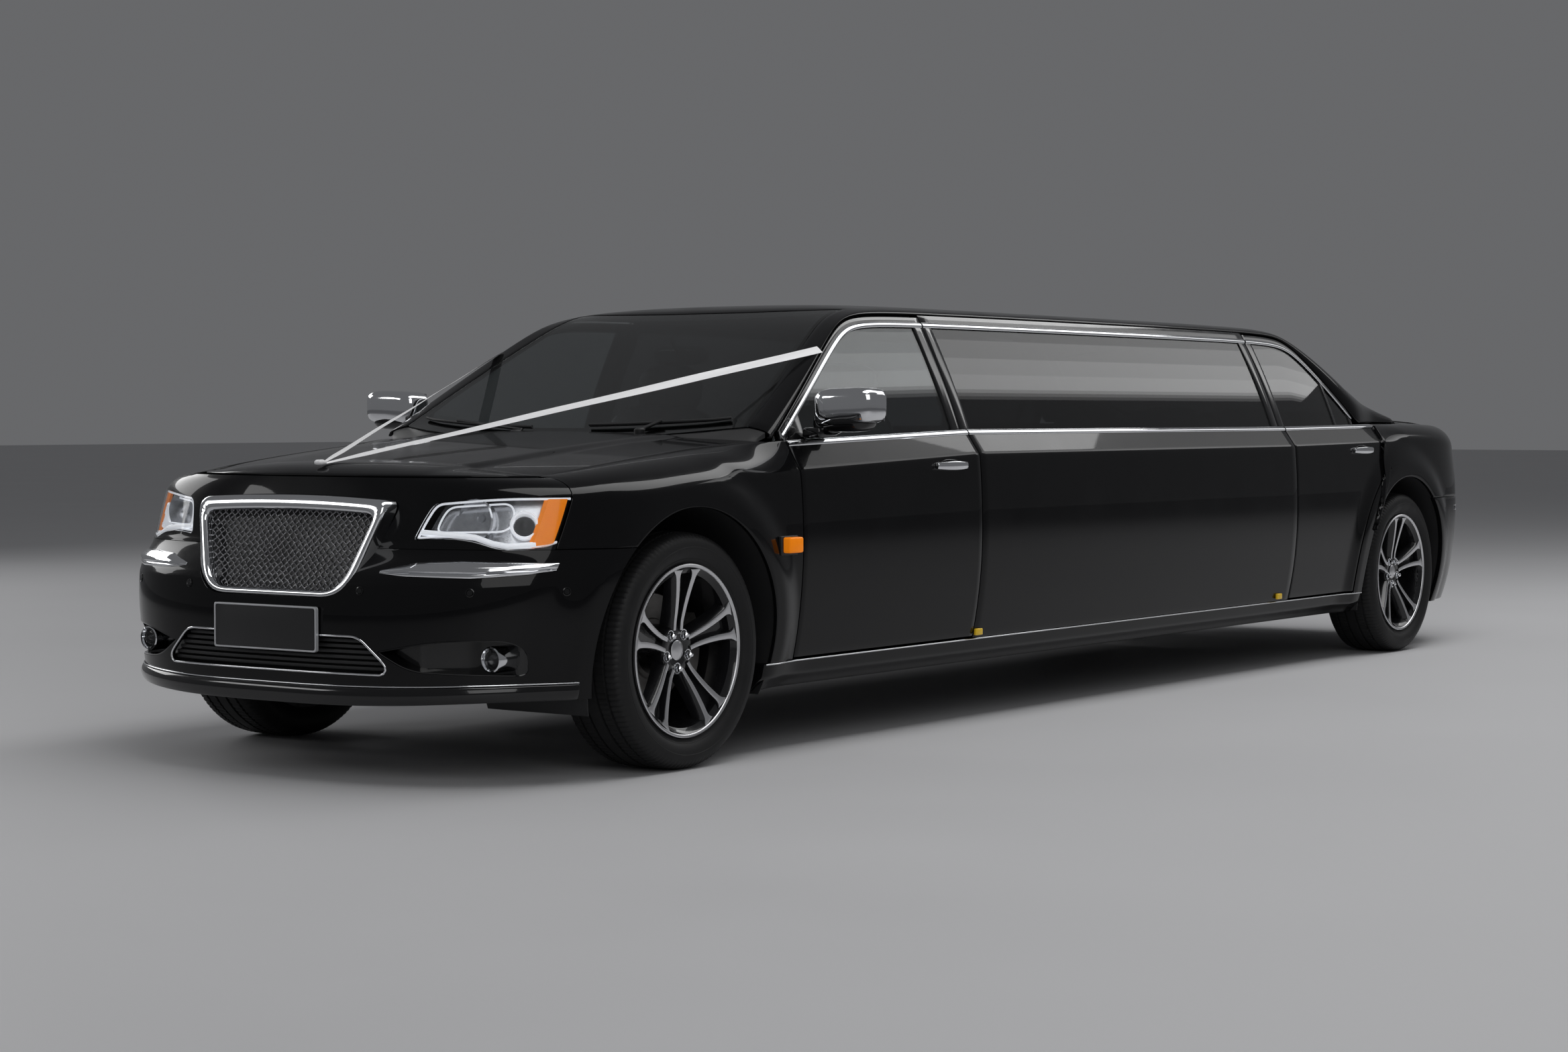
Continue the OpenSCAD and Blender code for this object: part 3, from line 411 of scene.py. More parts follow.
def loft(name, rings, closed=True):
    """A grid wrapped onto rings of points and back to the first; closed joins each ring's ends too."""
    n, k = len(rings), len(rings[0])
    across = k if closed else k - 1
    o = flat_grid(name, across, n)
    for vertex in o.data.vertices:
        i, j = column_row(vertex, across, n)
        vertex.co = Vector(rings[j % n][i % k]) * MM
    o.data.update()
    return edit_all(o, (bpy.ops.mesh.remove_doubles, {"threshold": 1e-6}),
                    (bpy.ops.mesh.normals_make_consistent, {"inside": False}))


def bevel(o, width, segments=2, angle=40):
    return use(o, "BEVEL", width=width * MM, segments=segments, limit_method="ANGLE",
               angle_limit=math.radians(angle), harden_normals=False)


def thick(o, t, edge=1.5):
    """Gives an open sheet a wall on its inner side."""
    use(o, "SOLIDIFY", thickness=t * MM, offset=-1.0, use_even_offset=False)
    if edge:
        bevel(o, edge)
    return o


def smooth(o, angle=35):
    only(o)
    bpy.ops.object.shade_smooth_by_angle(angle=math.radians(angle))
    return o


def join(name, parts):
    """Joins parts into one named piece."""
    bpy.ops.object.select_all(action="DESELECT")
    for p in parts:
        p.select_set(True)
    bpy.context.view_layer.objects.active = parts[0]
    if len(parts) > 1:
        bpy.ops.object.join()
    parts[0].name = parts[0].data.name = name
    return parts[0]


def other_side(o, name):
    """A copy mirrored to the car's right side."""
    c = o.copy()
    c.data = o.data.copy()
    c.name = c.data.name = name
    bpy.context.collection.objects.link(c)
    c.data.transform(Matrix.Diagonal((1, -1, 1, 1)))
    c.data.flip_normals()
    return c


def both_sides(o):
    """Joins a left piece with its mirrored copy."""
    name = o.name
    return join(name, [o, other_side(o, name + "_r")])


def cut(o, cutter):
    """Cuts a tool's shape out of a piece."""
    use(o, "BOOLEAN", operation="DIFFERENCE", object=cutter, solver="EXACT")
    bpy.data.objects.remove(cutter)
    return o


def prism(name, line, x0, x1):
    """A closed prism along X of an outline in Y and Z."""
    n = len(line)
    verts = [(x0, y, z) for y, z in line] + [(x1, y, z) for y, z in line]
    faces = [tuple(range(n)), tuple(range(2 * n - 1, n - 1, -1))]
    faces += [(i, (i + 1) % n, n + (i + 1) % n, n + i) for i in range(n)]
    return from_faces(name, verts, faces)


CUT_FROM, CUT_TO = XF + 250, XF + 1000  # reach of the tools that cut the nose


def keep_within(o, line):
    """Trims a piece of the nose to an outline in Y and Z."""
    keep = prism("keep", line, CUT_FROM, CUT_TO)
    use(o, "BOOLEAN", operation="INTERSECT", object=keep, solver="EXACT")
    bpy.data.objects.remove(keep)
    return o


def rod(name, points, r, cyclic=False, steps=4):
    """A round bar along points."""
    cu = bpy.data.curves.new(name, "CURVE")
    cu.dimensions = "3D"
    cu.bevel_depth = r * MM
    cu.bevel_resolution = steps
    cu.use_fill_caps = True
    sp = cu.splines.new("POLY")
    sp.points.add(len(points) - 1)
    for p, q in zip(sp.points, points):
        p.co = (q[0] * MM, q[1] * MM, q[2] * MM, 1)
    sp.use_cyclic_u = cyclic
    o = bpy.data.objects.new(name, cu)
    bpy.context.collection.objects.link(o)
    only(o)
    bpy.ops.object.convert(target="MESH")
    o = bpy.context.object
    o.name = o.data.name = name
    return o


def block(name, centre, size, edge=4.0, segments=3, turn=None):
    """A rounded block: a cube primitive at its size, edges bevelled."""
    bpy.ops.object.select_all(action="DESELECT")
    bpy.ops.mesh.primitive_cube_add(size=1)
    o = bpy.context.object
    o.name = o.data.name = name
    o.data.transform(Matrix.Diagonal((size[0] * MM, size[1] * MM, size[2] * MM, 1)))
    bevel(o, edge, segments, 30)
    if turn is not None:
        o.data.transform(turn)
    o.data.transform(Matrix.Translation(Vector(centre) * MM))
    return o


def turned(name, profile, n=64, axis="Y", at=(0, 0, 0), close=True):
    """A profile of (radius, height) spun about an axis."""
    rings = []
    for i in range(n):
        a = 2 * math.pi * i / n
        rings.append([])
        for r, h in profile:
            p = (r * math.cos(a), r * math.sin(a), h)
            if axis == "Y":
                p = (p[0], p[2], -p[1])
            elif axis == "X":
                p = (p[2], p[0], p[1])
            rings[i].append((p[0] + at[0], p[1] + at[1], p[2] + at[2]))
    return loft(name, rings, close)


def dress(o, body, mat, slot=None, stands_for=(), angle=35):
    """Finishes a piece: its material, shading, body and the nodes it stands for. Its slot argument is not
    used.
    """
    if not o.data.materials:
        o.data.materials.append(mat)
    smooth(o, angle)
    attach(o, body)
    if stands_for:
        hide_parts(*stands_for)
    return o


def on_doors(o, tag, mat, slot, node_starts):
    """Dresses a left door's piece, and its mirrored copy on the right door."""
    right = other_side(o, o.name + "_right")
    o.name += "_left"
    for piece, side in ((o, "left"), (right, "right")):
        dress(piece, "door_%s_%s" % (tag, side), mat, slot, tuple(start + side for start in node_starts))


# Finishes
def material(name, color, rough=0.4, metal=0.0, coat=0.0, clear=0.0, ior=1.5, vary=0.15, vary_scale=6.0,
             rough_vary=0.06, bump=0.0, bump_scale=400.0, sheen=0.0, dust=0.0, cells=False, stretch=None,
             painted_glow=0.0, spec=None):
    """A finish whose colour and roughness vary, with grain or cells as bump, dust near the ground and an
    optional painted glow in its own colour.
    """
    m = bpy.data.materials.new(name)
    m.use_nodes = True
    nodes, links = m.node_tree.nodes, m.node_tree.links
    b = nodes["Principled BSDF"]
    b.inputs["Metallic"].default_value = metal
    b.inputs["IOR"].default_value = ior
    b.inputs["Coat Weight"].default_value = coat
    b.inputs["Specular IOR Level"].default_value = 0.5 * (1 - 0.8 * coat) if spec is None else spec
    b.inputs["Coat Roughness"].default_value = 0.02
    b.inputs["Transmission Weight"].default_value = clear
    b.inputs["Sheen Weight"].default_value = sheen
    # painted glow: the finish gives off light in its own colour though no lamp is lit
    b.inputs["Emission Color"].default_value = tuple(color) + (1,)
    b.inputs["Emission Strength"].default_value = painted_glow
    where = nodes.new("ShaderNodeTexCoord").outputs["Object"]
    if stretch:
        mp = nodes.new("ShaderNodeMapping")
        mp.inputs["Scale"].default_value = stretch
        links.new(where, mp.inputs["Vector"])
        where = mp.outputs["Vector"]
    noise = nodes.new("ShaderNodeTexNoise")
    noise.inputs["Scale"].default_value = vary_scale
    noise.inputs["Detail"].default_value = 6.0
    links.new(where, noise.inputs["Vector"])
    tint = nodes.new("ShaderNodeMix")
    tint.data_type = "RGBA"
    tint.inputs[6].default_value = tuple(c * (1 - vary) for c in color) + (1,)
    tint.inputs[7].default_value = tuple(min(1.0, c * (1 + vary)) for c in color) + (1,)
    links.new(noise.outputs["Fac"], tint.inputs[0])
    shade = tint.outputs[2]
    if dust:
        split = nodes.new("ShaderNodeSeparateXYZ")
        links.new(nodes.new("ShaderNodeTexCoord").outputs["Object"], split.inputs[0])
        low = nodes.new("ShaderNodeMapRange")
        low.inputs["From Min"].default_value = 0.46
        low.inputs["From Max"].default_value = 0.2
        low.inputs["To Max"].default_value = dust
        links.new(split.outputs["Z"], low.inputs["Value"])
        patch = nodes.new("ShaderNodeMath")
        patch.operation = "MULTIPLY"
        links.new(low.outputs[0], patch.inputs[0])
        links.new(noise.outputs["Fac"], patch.inputs[1])
        soil = nodes.new("ShaderNodeMix")
        soil.data_type = "RGBA"
        soil.inputs[7].default_value = (0.11, 0.10, 0.09, 1)
        links.new(patch.outputs[0], soil.inputs[0])
        links.new(shade, soil.inputs[6])
        shade = soil.outputs[2]
    links.new(shade, b.inputs["Base Color"])
    span = nodes.new("ShaderNodeMapRange")
    span.inputs["From Min"].default_value = 0.3
    span.inputs["From Max"].default_value = 0.7
    span.inputs["To Min"].default_value = max(0.0, rough - rough_vary)
    span.inputs["To Max"].default_value = min(1.0, rough + rough_vary)
    links.new(noise.outputs["Fac"], span.inputs["Value"])
    links.new(span.outputs[0], b.inputs["Roughness"])
    if bump:
        tex = nodes.new("ShaderNodeTexVoronoi" if cells else "ShaderNodeTexNoise")
        tex.inputs["Scale"].default_value = bump_scale
        links.new(where, tex.inputs["Vector"])
        bp = nodes.new("ShaderNodeBump")
        bp.inputs["Strength"].default_value = bump
        bp.inputs["Distance"].default_value = 0.001
        links.new(tex.outputs["Distance" if cells else "Fac"], bp.inputs["Height"])
        links.new(bp.outputs[0], b.inputs["Normal"])
        if coat:
            links.new(bp.outputs[0], b.inputs["Coat Normal"])
    return m


PAINT = material("black_paint", (0.0035, 0.0035, 0.004), 0.20, coat=0.45, vary=0.25, bump=0.006,
                 bump_scale=160.0, spec=0.03)
GLOSS = material("gloss_black_frame", (0.004, 0.004, 0.0045), 0.14, coat=0.6, vary=0.2, bump=0.008,
                 bump_scale=300.0)
CHROME = material("chrome", (0.80, 0.81, 0.83), 0.07, metal=1.0, vary=0.03, rough_vary=0.03, bump=0.006,
                  bump_scale=90.0)
DARK_CHROME = material("dark_chrome", (0.16, 0.16, 0.17), 0.22, metal=1.0, vary=0.12, vary_scale=40.0,
                       bump=0.02)
MESH_METAL = material("mesh_metal", (0.22, 0.22, 0.23), 0.22, metal=1.0, vary=0.10, vary_scale=60.0,
                      bump=0.01)
GLASS = material("tinted_glass", (0.40, 0.44, 0.45), 0.015, clear=1.0, vary=0.04, rough_vary=0.012)
SCREEN = material("windscreen_glass", (0.30, 0.32, 0.32), 0.012, clear=1.0, vary=0.03, rough_vary=0.01)
PRIVACY = material("privacy_glass", (0.10, 0.105, 0.11), 0.015, clear=1.0, vary=0.05, rough_vary=0.012)
FRIT = material("glass_border", (0.008, 0.008, 0.009), 0.35, vary=0.2, bump=0.02)
PLASTIC = material("grained_plastic", (0.014, 0.014, 0.015), 0.55, vary=0.2, bump=0.18, bump_scale=900.0,
                   cells=True)
TYRE = material("tyre_rubber", (0.014, 0.014, 0.0145), 0.56, vary=0.3, vary_scale=18.0, bump=0.10,
                bump_scale=500.0, spec=0.25)
ALLOY = material("machined_alloy", (0.70, 0.70, 0.715), 0.32, metal=1.0, vary=0.06, vary_scale=8.0,
                 rough_vary=0.05, bump=0.004, bump_scale=400.0)
POCKET = material("dark_wheel_paint", (0.008, 0.008, 0.009), 0.24, coat=0.8, vary=0.3, vary_scale=20.0,
                  bump=0.02)
IRON = material("brake_iron", (0.30, 0.29, 0.28), 0.42, metal=0.9, vary=0.2, vary_scale=60.0, bump=0.05)
REFLECTOR = material("lamp_reflector", (0.58, 0.59, 0.61), 0.20, metal=0.75, vary=0.10, vary_scale=40.0,
                     bump=0.12, bump_scale=120.0, cells=True)
LENS = material("clear_lens", (0.97, 0.98, 1.0), 0.01, clear=1.0, ior=1.2, vary=0.01, rough_vary=0.008)
# painted shade: a near-black finish for the disc behind the projector's dome, so that the lens reads dark
EYE = material("projector_eye", (0.012, 0.012, 0.015), 0.16, vary=0.2, vary_scale=40.0, spec=0.2)
# painted glow: the headlamps' light guides give off light though the lamps are off, so that they read bright
LIGHT_BAR = material("light_guide", (0.86, 0.88, 0.92), 0.25, vary=0.05, bump=0.05, painted_glow=0.45)
# painted glow: the amber lenses give off orange light though the lamps are off
AMBER = material("amber_lens", (0.98, 0.25, 0.008), 0.14, spec=0.12, painted_glow=0.28, vary=0.12, vary_scale=30.0,
                 bump=0.25, bump_scale=160.0, cells=True)
YELLOW = material("yellow_lens", (0.95, 0.60, 0.03), 0.2, coat=0.2, vary=0.1, vary_scale=40.0, bump=0.1)
RED = material("red_lens", (0.42, 0.006, 0.010), 0.08, coat=0.5, clear=0.2, vary=0.15, vary_scale=20.0,
               bump=0.15, bump_scale=120.0, cells=True)
LEATHER = material("black_leather", (0.028, 0.027, 0.026), 0.48, vary=0.25, vary_scale=10.0, bump=0.25,
                   bump_scale=420.0, cells=True)
DASH = material("soft_dash", (0.020, 0.020, 0.021), 0.62, vary=0.2, bump=0.2, bump_scale=700.0, cells=True)
SATIN = material("white_satin", (0.92, 0.92, 0.93), 0.42, vary=0.05, vary_scale=30.0, sheen=0.4, bump=0.10,
                 bump_scale=60.0, stretch=(2, 40, 40))
STEEL = material("under_steel", (0.09, 0.09, 0.092), 0.5, metal=0.6, vary=0.3, vary_scale=15.0, bump=0.08,
                 dust=0.3)
PLATE = material("blank_plate", (0.012, 0.012, 0.013), 0.45, vary=0.2, bump=0.05)
PALE = material("plate_edge", (0.55, 0.56, 0.58), 0.3, metal=0.4, vary=0.08)


# Side of the body
def side_row(x, lo, v):
    """Height of a row of the side: most rows lie below the crease."""
    if v < 0.68:
        return mix(lo, crease_z(x), v / 0.68)
    return mix(crease_z(x), belt_z(x), (v - 0.68) / 0.32)


def side_slab(name, first, last, lo, nx, nz, slant=0.0, inner=DOOR_INNER + 4):
    """A closed panel of the body side from a rear to a front edge."""
    def spot(u, v):
        x = mix(first(WIDE_Z), last(WIDE_Z), u)
        z = side_row(x, lo, v)
        x = mix(first(z), last(z), u)
        return x, z

    def outer(u, v):
        x, z = spot(u, v)
        return (x, side_y(x, z), z)

    def inside(u, v):
        x, z = spot(u, v)
        return (x + slant * (1 - u) ** 6, inner, z)

    return bevel(slab(name, nx, nz, outer, inside), 2.2, 2, 50)


def below_belt(x):
    return belt_z(x) - 26


def post_top(x):
    return window_z(x) + 12


def pane_foot(x):
    return belt_z(x) - 4


def pane_top(x):
    return window_z(x) + 3


def trim_top(x):
    return window_z(x) + 16


def belt_trim_foot(x):
    return belt_z(x) - 17


def belt_trim_top(x):
    return belt_z(x) + 1


def pane(name, x0, x1, lo, hi, d0, d1, nx, nz, edge=1.5, crown=0.0):
    """A closed strip of the glasshouse side between two heights; crown swells its middle."""
    def at(u, v, d):
        x = mix(x0, x1, u)
        z = mix(lo(x), hi(x), v)
        return (x, glass_y(x, z) - d, z)

    o = slab(name, nx, nz, lambda u, v: at(u, v, d0 - crown * math.sin(math.pi * v) ** 0.7),
             lambda u, v: at(u, v, d1))
    return bevel(o, edge, 2, 50) if edge else o


def strip(name, x0, x1, lo, hi, proud, nx, nz=6):
    """A crowned bright strip on the body side."""
    def at(u, v, d):
        x = mix(x0, x1, u)
        z = mix(lo(x), hi(x), v)
        return (x, side_y(x, z) + d, z)

    return slab(name, nx, nz, lambda u, v: at(u, v, 1 + proud * math.sin(math.pi * v) ** 0.6),
                lambda u, v: at(u, v, -2))


def fan(name, xw, a0, a1, line, rings):
    """A body panel fanned out from a wheel arch to its outline."""
    k = len(line) - 1

    def place(u, v):
        j = min(int(u * k), k - 1)
        f = u * k - j
        g = math.radians(mix(a0, a1, u))
        s = 1 - (1 - v) ** 1.6
        x = mix(xw + ARCH_R * math.cos(g), mix(line[j][0], line[j + 1][0], f), s)
        z = mix(TYRE_R + ARCH_R * math.sin(g), mix(line[j][1], line[j + 1][1], f), s)
        return (x, side_y(x, z), z)

    return sheet(name, k, rings, place)


SILL_LINE = SILL_TOP - SHUT
low_angle = math.degrees(math.asin((TYRE_R - SILL_LINE) / ARCH_R))
wing_line = [(X_DOOR, z) for z in span(SILL_LINE, belt_z(X_DOOR) - 1, 36)]
wing_line += [(x, belt_z(x)) for x in span(X_DOOR, X_LAMP, 60)[1:]]
wing_line += [(lamp_edge(z), z) for z in span(belt_z(X_LAMP), BUMPER_TOP + 3, 25)[1:]]
bumper_angle = math.degrees(math.asin((BUMPER_TOP + 3 - TYRE_R) / ARCH_R))
wing = fan("front_wings", XF, 180 + low_angle, bumper_angle, wing_line, 30)
thick(wing, 12, 2.0)
dress(both_sides(wing), "body", PAINT, "paint", ("wings",))

QUARTER_FOOT = 702
q_line = [(TAIL_EDGE, z) for z in span(QUARTER_FOOT, belt_z(TAIL_EDGE), 24)]
q_line += [(x, belt_z(x)) for x in span(TAIL_EDGE, QUARTER_FRONT, 60)[1:]]
q_line += [(rear_door_x(z), z) for z in span(belt_z(QUARTER_FRONT), SILL_LINE, 50)[1:]]
foot_angle = math.degrees(math.asin((QUARTER_FOOT - TYRE_R) / ARCH_R))
quarter = fan("rear_quarters", XR, 180 - foot_angle, -low_angle, q_line, 30)
thick(quarter, 12, 2.0)
dress(both_sides(quarter), "body", PAINT, "paint", ("quarters",))

stretch = side_slab("stretch_sides", lambda z: X_REAR_DOOR, lambda z: X_DOOR_REAR, SILL_LINE, 60, 40)
stretch_top = pane("stretch_header", X_REAR_DOOR, X_DOOR_REAR, window_z, lambda x: rail_z(x) - 2, 0, 34,
                   40, 3)
POST_W = 60
posts = [pane("stretch_post", x, x + POST_W, below_belt, post_top, 1, 30, 2, 12)
         for x in (X_REAR_DOOR, X_DOOR_REAR - POST_W)]
dress(both_sides(stretch), "body", PAINT, "paint", ("stretch_panels",))
dress(both_sides(join("stretch_window_frames", [stretch_top] + posts)), "body", GLOSS, "frame_black")
glass = pane("stretch_windows", X_REAR_DOOR + POST_W - 3, X_DOOR_REAR - POST_W + 3, pane_foot, pane_top,
             6, 11, 40, 10, 0)
dress(both_sides(glass), "body", PRIVACY, "dark_glass", ("side_glass",))
top_trim = pane("stretch_top_trim", X_REAR_DOOR + 4, X_DOOR_REAR - 4, lambda x: window_z(x) - 2, trim_top,
                0, 2, 50, 6, 0, 5)
belt_trim = strip("stretch_belt_trim", X_REAR_DOOR + 2, X_DOOR_REAR - 2, belt_trim_foot, belt_trim_top, 5, 50)
dress(both_sides(join("stretch_bright_strips", [top_trim, belt_trim])), "body", CHROME, "chrome",
      ("bright_strips",))


# Doors
HANDLE_DROP = 28  # the handles' middle below the crease
HANDLE_HALF, CUP_HALF = 98, 62


def handle(x):
    """A bow handle on two feet."""
    zc = crease_z(x) - HANDLE_DROP
    y0 = side_y(x, zc)

    def bow(u, v, stand, rise, tall):
        return (x + HANDLE_HALF * (2 * u - 1), y0 + stand + rise * math.sin(math.pi * u) ** 0.5,
                zc + (v - 0.5) * (tall - 8 * abs(2 * u - 1) ** 2))

    def face(u, v):
        p = bow(u, v, 12, 12, 30)
        return (p[0], p[1] + 3 * math.sin(math.pi * v), p[2])

    bar = slab("handle_bar", 24, 8, face, lambda u, v: bow(u, v, 6, 10, 28))
    bevel(bar, 2, 2, 40)
    feet = [block("handle_foot", (x + d, y0 + 6, zc), (30, 18, 24), 5) for d in (-82, 82)]
    return join("handle", [bar] + feet)


def handle_cup(name, x):
    """The hollow behind a handle."""
    zc = crease_z(x) - HANDLE_DROP
    y0 = side_y(x, zc)

    def at(u, v, stand):
        tall = 46 * (v - 0.5) * math.sin(math.pi * (0.1 + 0.8 * u)) ** 0.5
        return (x + CUP_HALF * (2 * u - 1), y0 + stand, zc + tall)

    def face(u, v):
        return at(u, v, 1.2 - 3 * max(0.0, math.sin(math.pi * u) * math.sin(math.pi * v)))

    return slab(name, 16, 10, face, lambda u, v: at(u, v, -3))


def make_door(tag, first, last, x0, x1, glasses, posts, handle_x):
    """The left door's pieces; each is then copied to the right."""
    skin = side_slab("door_skin_" + tag, first, last, SILL_TOP + 2, 44, 40, 26)
    frame_parts = [pane("door_frame", x0, x1, lambda x: max(window_z(x), below_belt(x)),
                        lambda x: window_z(x) + 34, 0, 24, 40, 3)]
    frame_parts += [pane("door_post", a, b, below_belt, post_top, 1, 24, 3, 12) for a, b in posts]
    window_frame = join("door_frame_" + tag, frame_parts)
    panes = [pane("door_glass", a, b, pane_foot, pane_top, 6, 11, 24, 10, 0) for a, b in glasses]
    window = join("door_glass_" + tag, panes)
    trim = pane("door_top_trim", x0 + 2, x1 - (4 if tag == "rear" else 14),
                lambda x: max(window_z(x) - 2, belt_z(x) - 2), trim_top, 0, 2, 60, 6, 0, 5)
    belt = strip("door_belt_trim", first(belt_z(x0)) + 2, last(BELT_FRONT) - 2, belt_trim_foot, belt_trim_top,
                 5, 40)
    trims = join("door_trim_" + tag, [trim, belt, handle(handle_x)])
    cup = handle_cup("door_cup_" + tag, handle_x)
    mid, wide = (x0 + x1) / 2, x1 - x0
    card = [block("door_card", (mid, DOOR_INNER - 1, 660), (wide - 150, 12, 560), 5),
            block("door_rest", (mid - 30, DOOR_INNER - 22, 700), (wide - 420, 50, 70), 18),
            block("door_pocket", (mid - 20, DOOR_INNER - 14, 470), (wide - 380, 34, 120), 12)]
    lining = join("door_lining_" + tag, card)
    tint, tint_slot = (GLASS, "glass") if tag == "front" else (PRIVACY, "dark_glass")
    for o, mat, slot, node_starts in ((skin, PAINT, "paint", ("door_%s_" % tag,)),
                                      (window_frame, GLOSS, "frame_black", ()),
                                      (window, tint, tint_slot, ("glass_%s_" % tag,)),
                                      (trims, CHROME, "chrome", ("trim_%s_" % tag,)),
                                      (cup, GLOSS, "paint", ()),
                                      (lining, LEATHER, "leather", ())):
        on_doors(o, tag, mat, slot, node_starts)


fx0, fx1 = X_DOOR_REAR + SHUT, X_DOOR - 6
make_door("front", lambda z: fx0, lambda z: fx1, fx0, fx1 - 4, [(fx0 + 53, fx1 - 138)],
          [(fx0, fx0 + 56), (fx1 - 144, fx1 - 20)], fx0 + 200)
rx1 = X_REAR_DOOR - 6
make_door("rear", lambda z: rear_door_x(z) + SHUT + 2, lambda z: rx1, XR + 352, rx1,
          [(QUARTER_BAR + 9, rx1 - 53), (XR + 377, QUARTER_BAR - 9)],
          [(rx1 - 56, rx1), (QUARTER_BAR - 12, QUARTER_BAR + 12), (XR + 352, XR + 380)], XR + 462)


# Roof, screens and scuttle
def masked(name, rows, cols, place, keep):
    """An open sheet of rows and columns of which only some cells stand."""
    n = len(cols)
    verts = [place(r, c) for r in rows for c in cols]
    faces = []
    for i in range(len(rows) - 1):
        for j in range(n - 1):
            if keep((rows[i] + rows[i + 1]) / 2, (cols[j] + cols[j + 1]) / 2):
                a = i * n + j
                faces.append((a, a + 1, a + n + 1, a + n))
    o = from_faces(name, verts, faces)
    bm = bmesh.new()
    bm.from_mesh(o.data)
    bmesh.ops.delete(bm, geom=[v for v in bm.verts if not v.link_faces], context="VERTS")
    bm.to_mesh(o.data)
    bm.free()
    return outward(o, away)


# rows and columns lie closer where the roof bends into its screens and pillars
COLS = span(-90, -78, 10) + span(-76, 76, 38) + span(78, 90, 10)
ROWS = (span(0, 1, 22)[:-1] + span(1, 1.12, 10)[:-1] + span(1.12, 1.84, 24)[:-1] + span(1.84, 2, 14)[:-1] +
        span(2, 3, 22))
roof = masked("roof_shell", ROWS, COLS, top_pt, lambda s, g: abs(g) > GLASS_EDGE or 1 < s < 2)
thick(roof, 14, 2.0)
dress(roof, "body", PAINT, "paint", ("roof",))


def screen(name, lo, hi, mat, slot, node):
    """A screen's pane with a dark border printed behind its edge."""
    def at(u, v, deep):
        return top_pt(mix(lo, hi, u), mix(0.3 - GLASS_EDGE, GLASS_EDGE - 0.3, v), deep)

    dress(shell(name, 26, 40, at, 2, 7), "body", mat, slot, (node,))
    band = masked(name + "_border", span(lo, hi, 50), span(-59.6, 59.6, 80), lambda s, g: top_pt(s, g, 8.5),
                  lambda s, g: abs(g) > 55.5 or abs(s - lo) < 0.07 or abs(s - hi) < 0.055)
    dress(thick(band, 1.5, 0), "body", FRIT, "frame_black")


screen("windscreen_pane", 0.003, 0.997, SCREEN, "glass", "windscreen")
screen("rear_screen_pane", 2.003, 2.997, PRIVACY, "dark_glass", "rear_window")


def bridge(name, nu, first, last, under, drop):
    """A closed panel from one edge line to another, with an underside below it."""
    def at(u, v, end, low):
        a, b = first(v), end(v)
        return (mix(a[0], b[0], u), mix(a[1], b[1], u), mix(a[2], b[2], u) - low)

    return slab(name, nu, 40, lambda u, v: at(u, v, last, 0), lambda u, v: at(u, v, under, drop))


def hood_back(v, u=0.0):
    return hood_pt(u, mix(-0.93, 0.93, v), 14)


scuttle = bridge("scuttle_panel", 6, lambda v: top_pt(0.0, mix(-78, 78, v), 10), hood_back,
                 lambda v: hood_back(v, 0.03), 16)
dress(scuttle, "body", PLASTIC, "black_plastic")


def lid_front(v):
    return deck_pt(1.0, mix(-0.97, 0.97, v), 8)


rear_scuttle = bridge("rear_shelf_panel", 5, lambda v: top_pt(3.0, mix(-80, 80, v), 4), lid_front, lid_front,
                      14)
dress(rear_scuttle, "body", PAINT, "paint")


def ledge_at(u, v, deep):
    x = mix(XR - 318, QUARTER_FRONT, u)
    return (x, side_y(x, belt_z(x)) - 2 - 90 * v, belt_z(x) - 3 - deep)


ledge = shell("quarter_ledges", 30, 6, ledge_at, 0, 8)
dress(both_sides(ledge), "body", PAINT, "paint")


WIPER_HUB = [(0, 0), (16, 0), (18, 4), (18, 20), (10, 26), (0, 26)]


def wiper(g0, g1, s0, s1, pivot):
    """A wiper parked on the windscreen, its arm from a hub at the pivot's angle."""
    def over_glass(t, lift, up=0.0):
        return top_pt(mix(s0, s1, t) + up, mix(g0, g1, t), -lift)

    blade = [over_glass(t, 13) for t in span(0, 1, 14)]
    spine = [over_glass(t, 6, 0.004) for t in span(0, 1, 14)]
    foot = top_pt(0.0, pivot, 0)
    arm = [foot, (foot[0] - 30, foot[1], foot[2] + 26), over_glass(0.45, 20)]
    return [rod("wiper_blade", blade, 5), rod("wiper_edge", spine, 2.5), rod("wiper_arm", arm, 6),
            turned("wiper_hub", WIPER_HUB, 24, "Z", foot, False)]


wipers = wiper(-48, -4, 0.075, 0.05, -6) + wiper(6, 48, 0.065, 0.075, 22)
dress(join("windscreen_wipers", wipers), "body", PLASTIC, "black_plastic")

# Hood and trunk lid
hood = sheet("hood_shell", 90, 100, lambda u, v: hood_pt(u, 2 * v - 1), lambda p: Vector((0, 0, 1)))
thick(hood, 14, 2.5)
hood_arms = [block("hood_arm", (X_DOOR + 110, s * 756, belt_z(X_DOOR + 62) - 16), (110, 12, 14), 3)
             for s in (-1, 1)]
dress(join("hood_panel", [hood] + hood_arms), "hood", PAINT, "paint", ("hood",))

deck = sheet("deck_shell", 50, 70, lambda u, v: deck_pt(u, 2 * v - 1), lambda p: Vector((0, 0, 1)))
thick(deck, 16, 2.5)
LID_Y, LID_WALL = 648, 24
REAR_PLATE_Z = 820


def lid_z(u, v):
    """Heights on the lid's back, up to the deck's crowned edge."""
    return mix(706, belt_z(XR - 1080) + CROWN * (1 - (0.9 * (2 * u - 1)) ** 2) - 6, v)


def plate_dent(u, z):
    """Depth of the hollow round the rear plate."""
    return 14 * math.exp(-((z - REAR_PLATE_Z) / 70) ** 2) * (1 - ease((abs(2 * u - 1) - 0.42) / 0.12))


def lid_face(u, v):
    z = lid_z(u, v)
    return tail_pt((2 * u - 1) * tail_angle(LID_Y, z), z, plate_dent(u, z))


def lid_inside(u, v):
    z = lid_z(u, v)
    return tail_pt((2 * u - 1) * tail_angle(LID_Y, z, LID_WALL), z, LID_WALL)


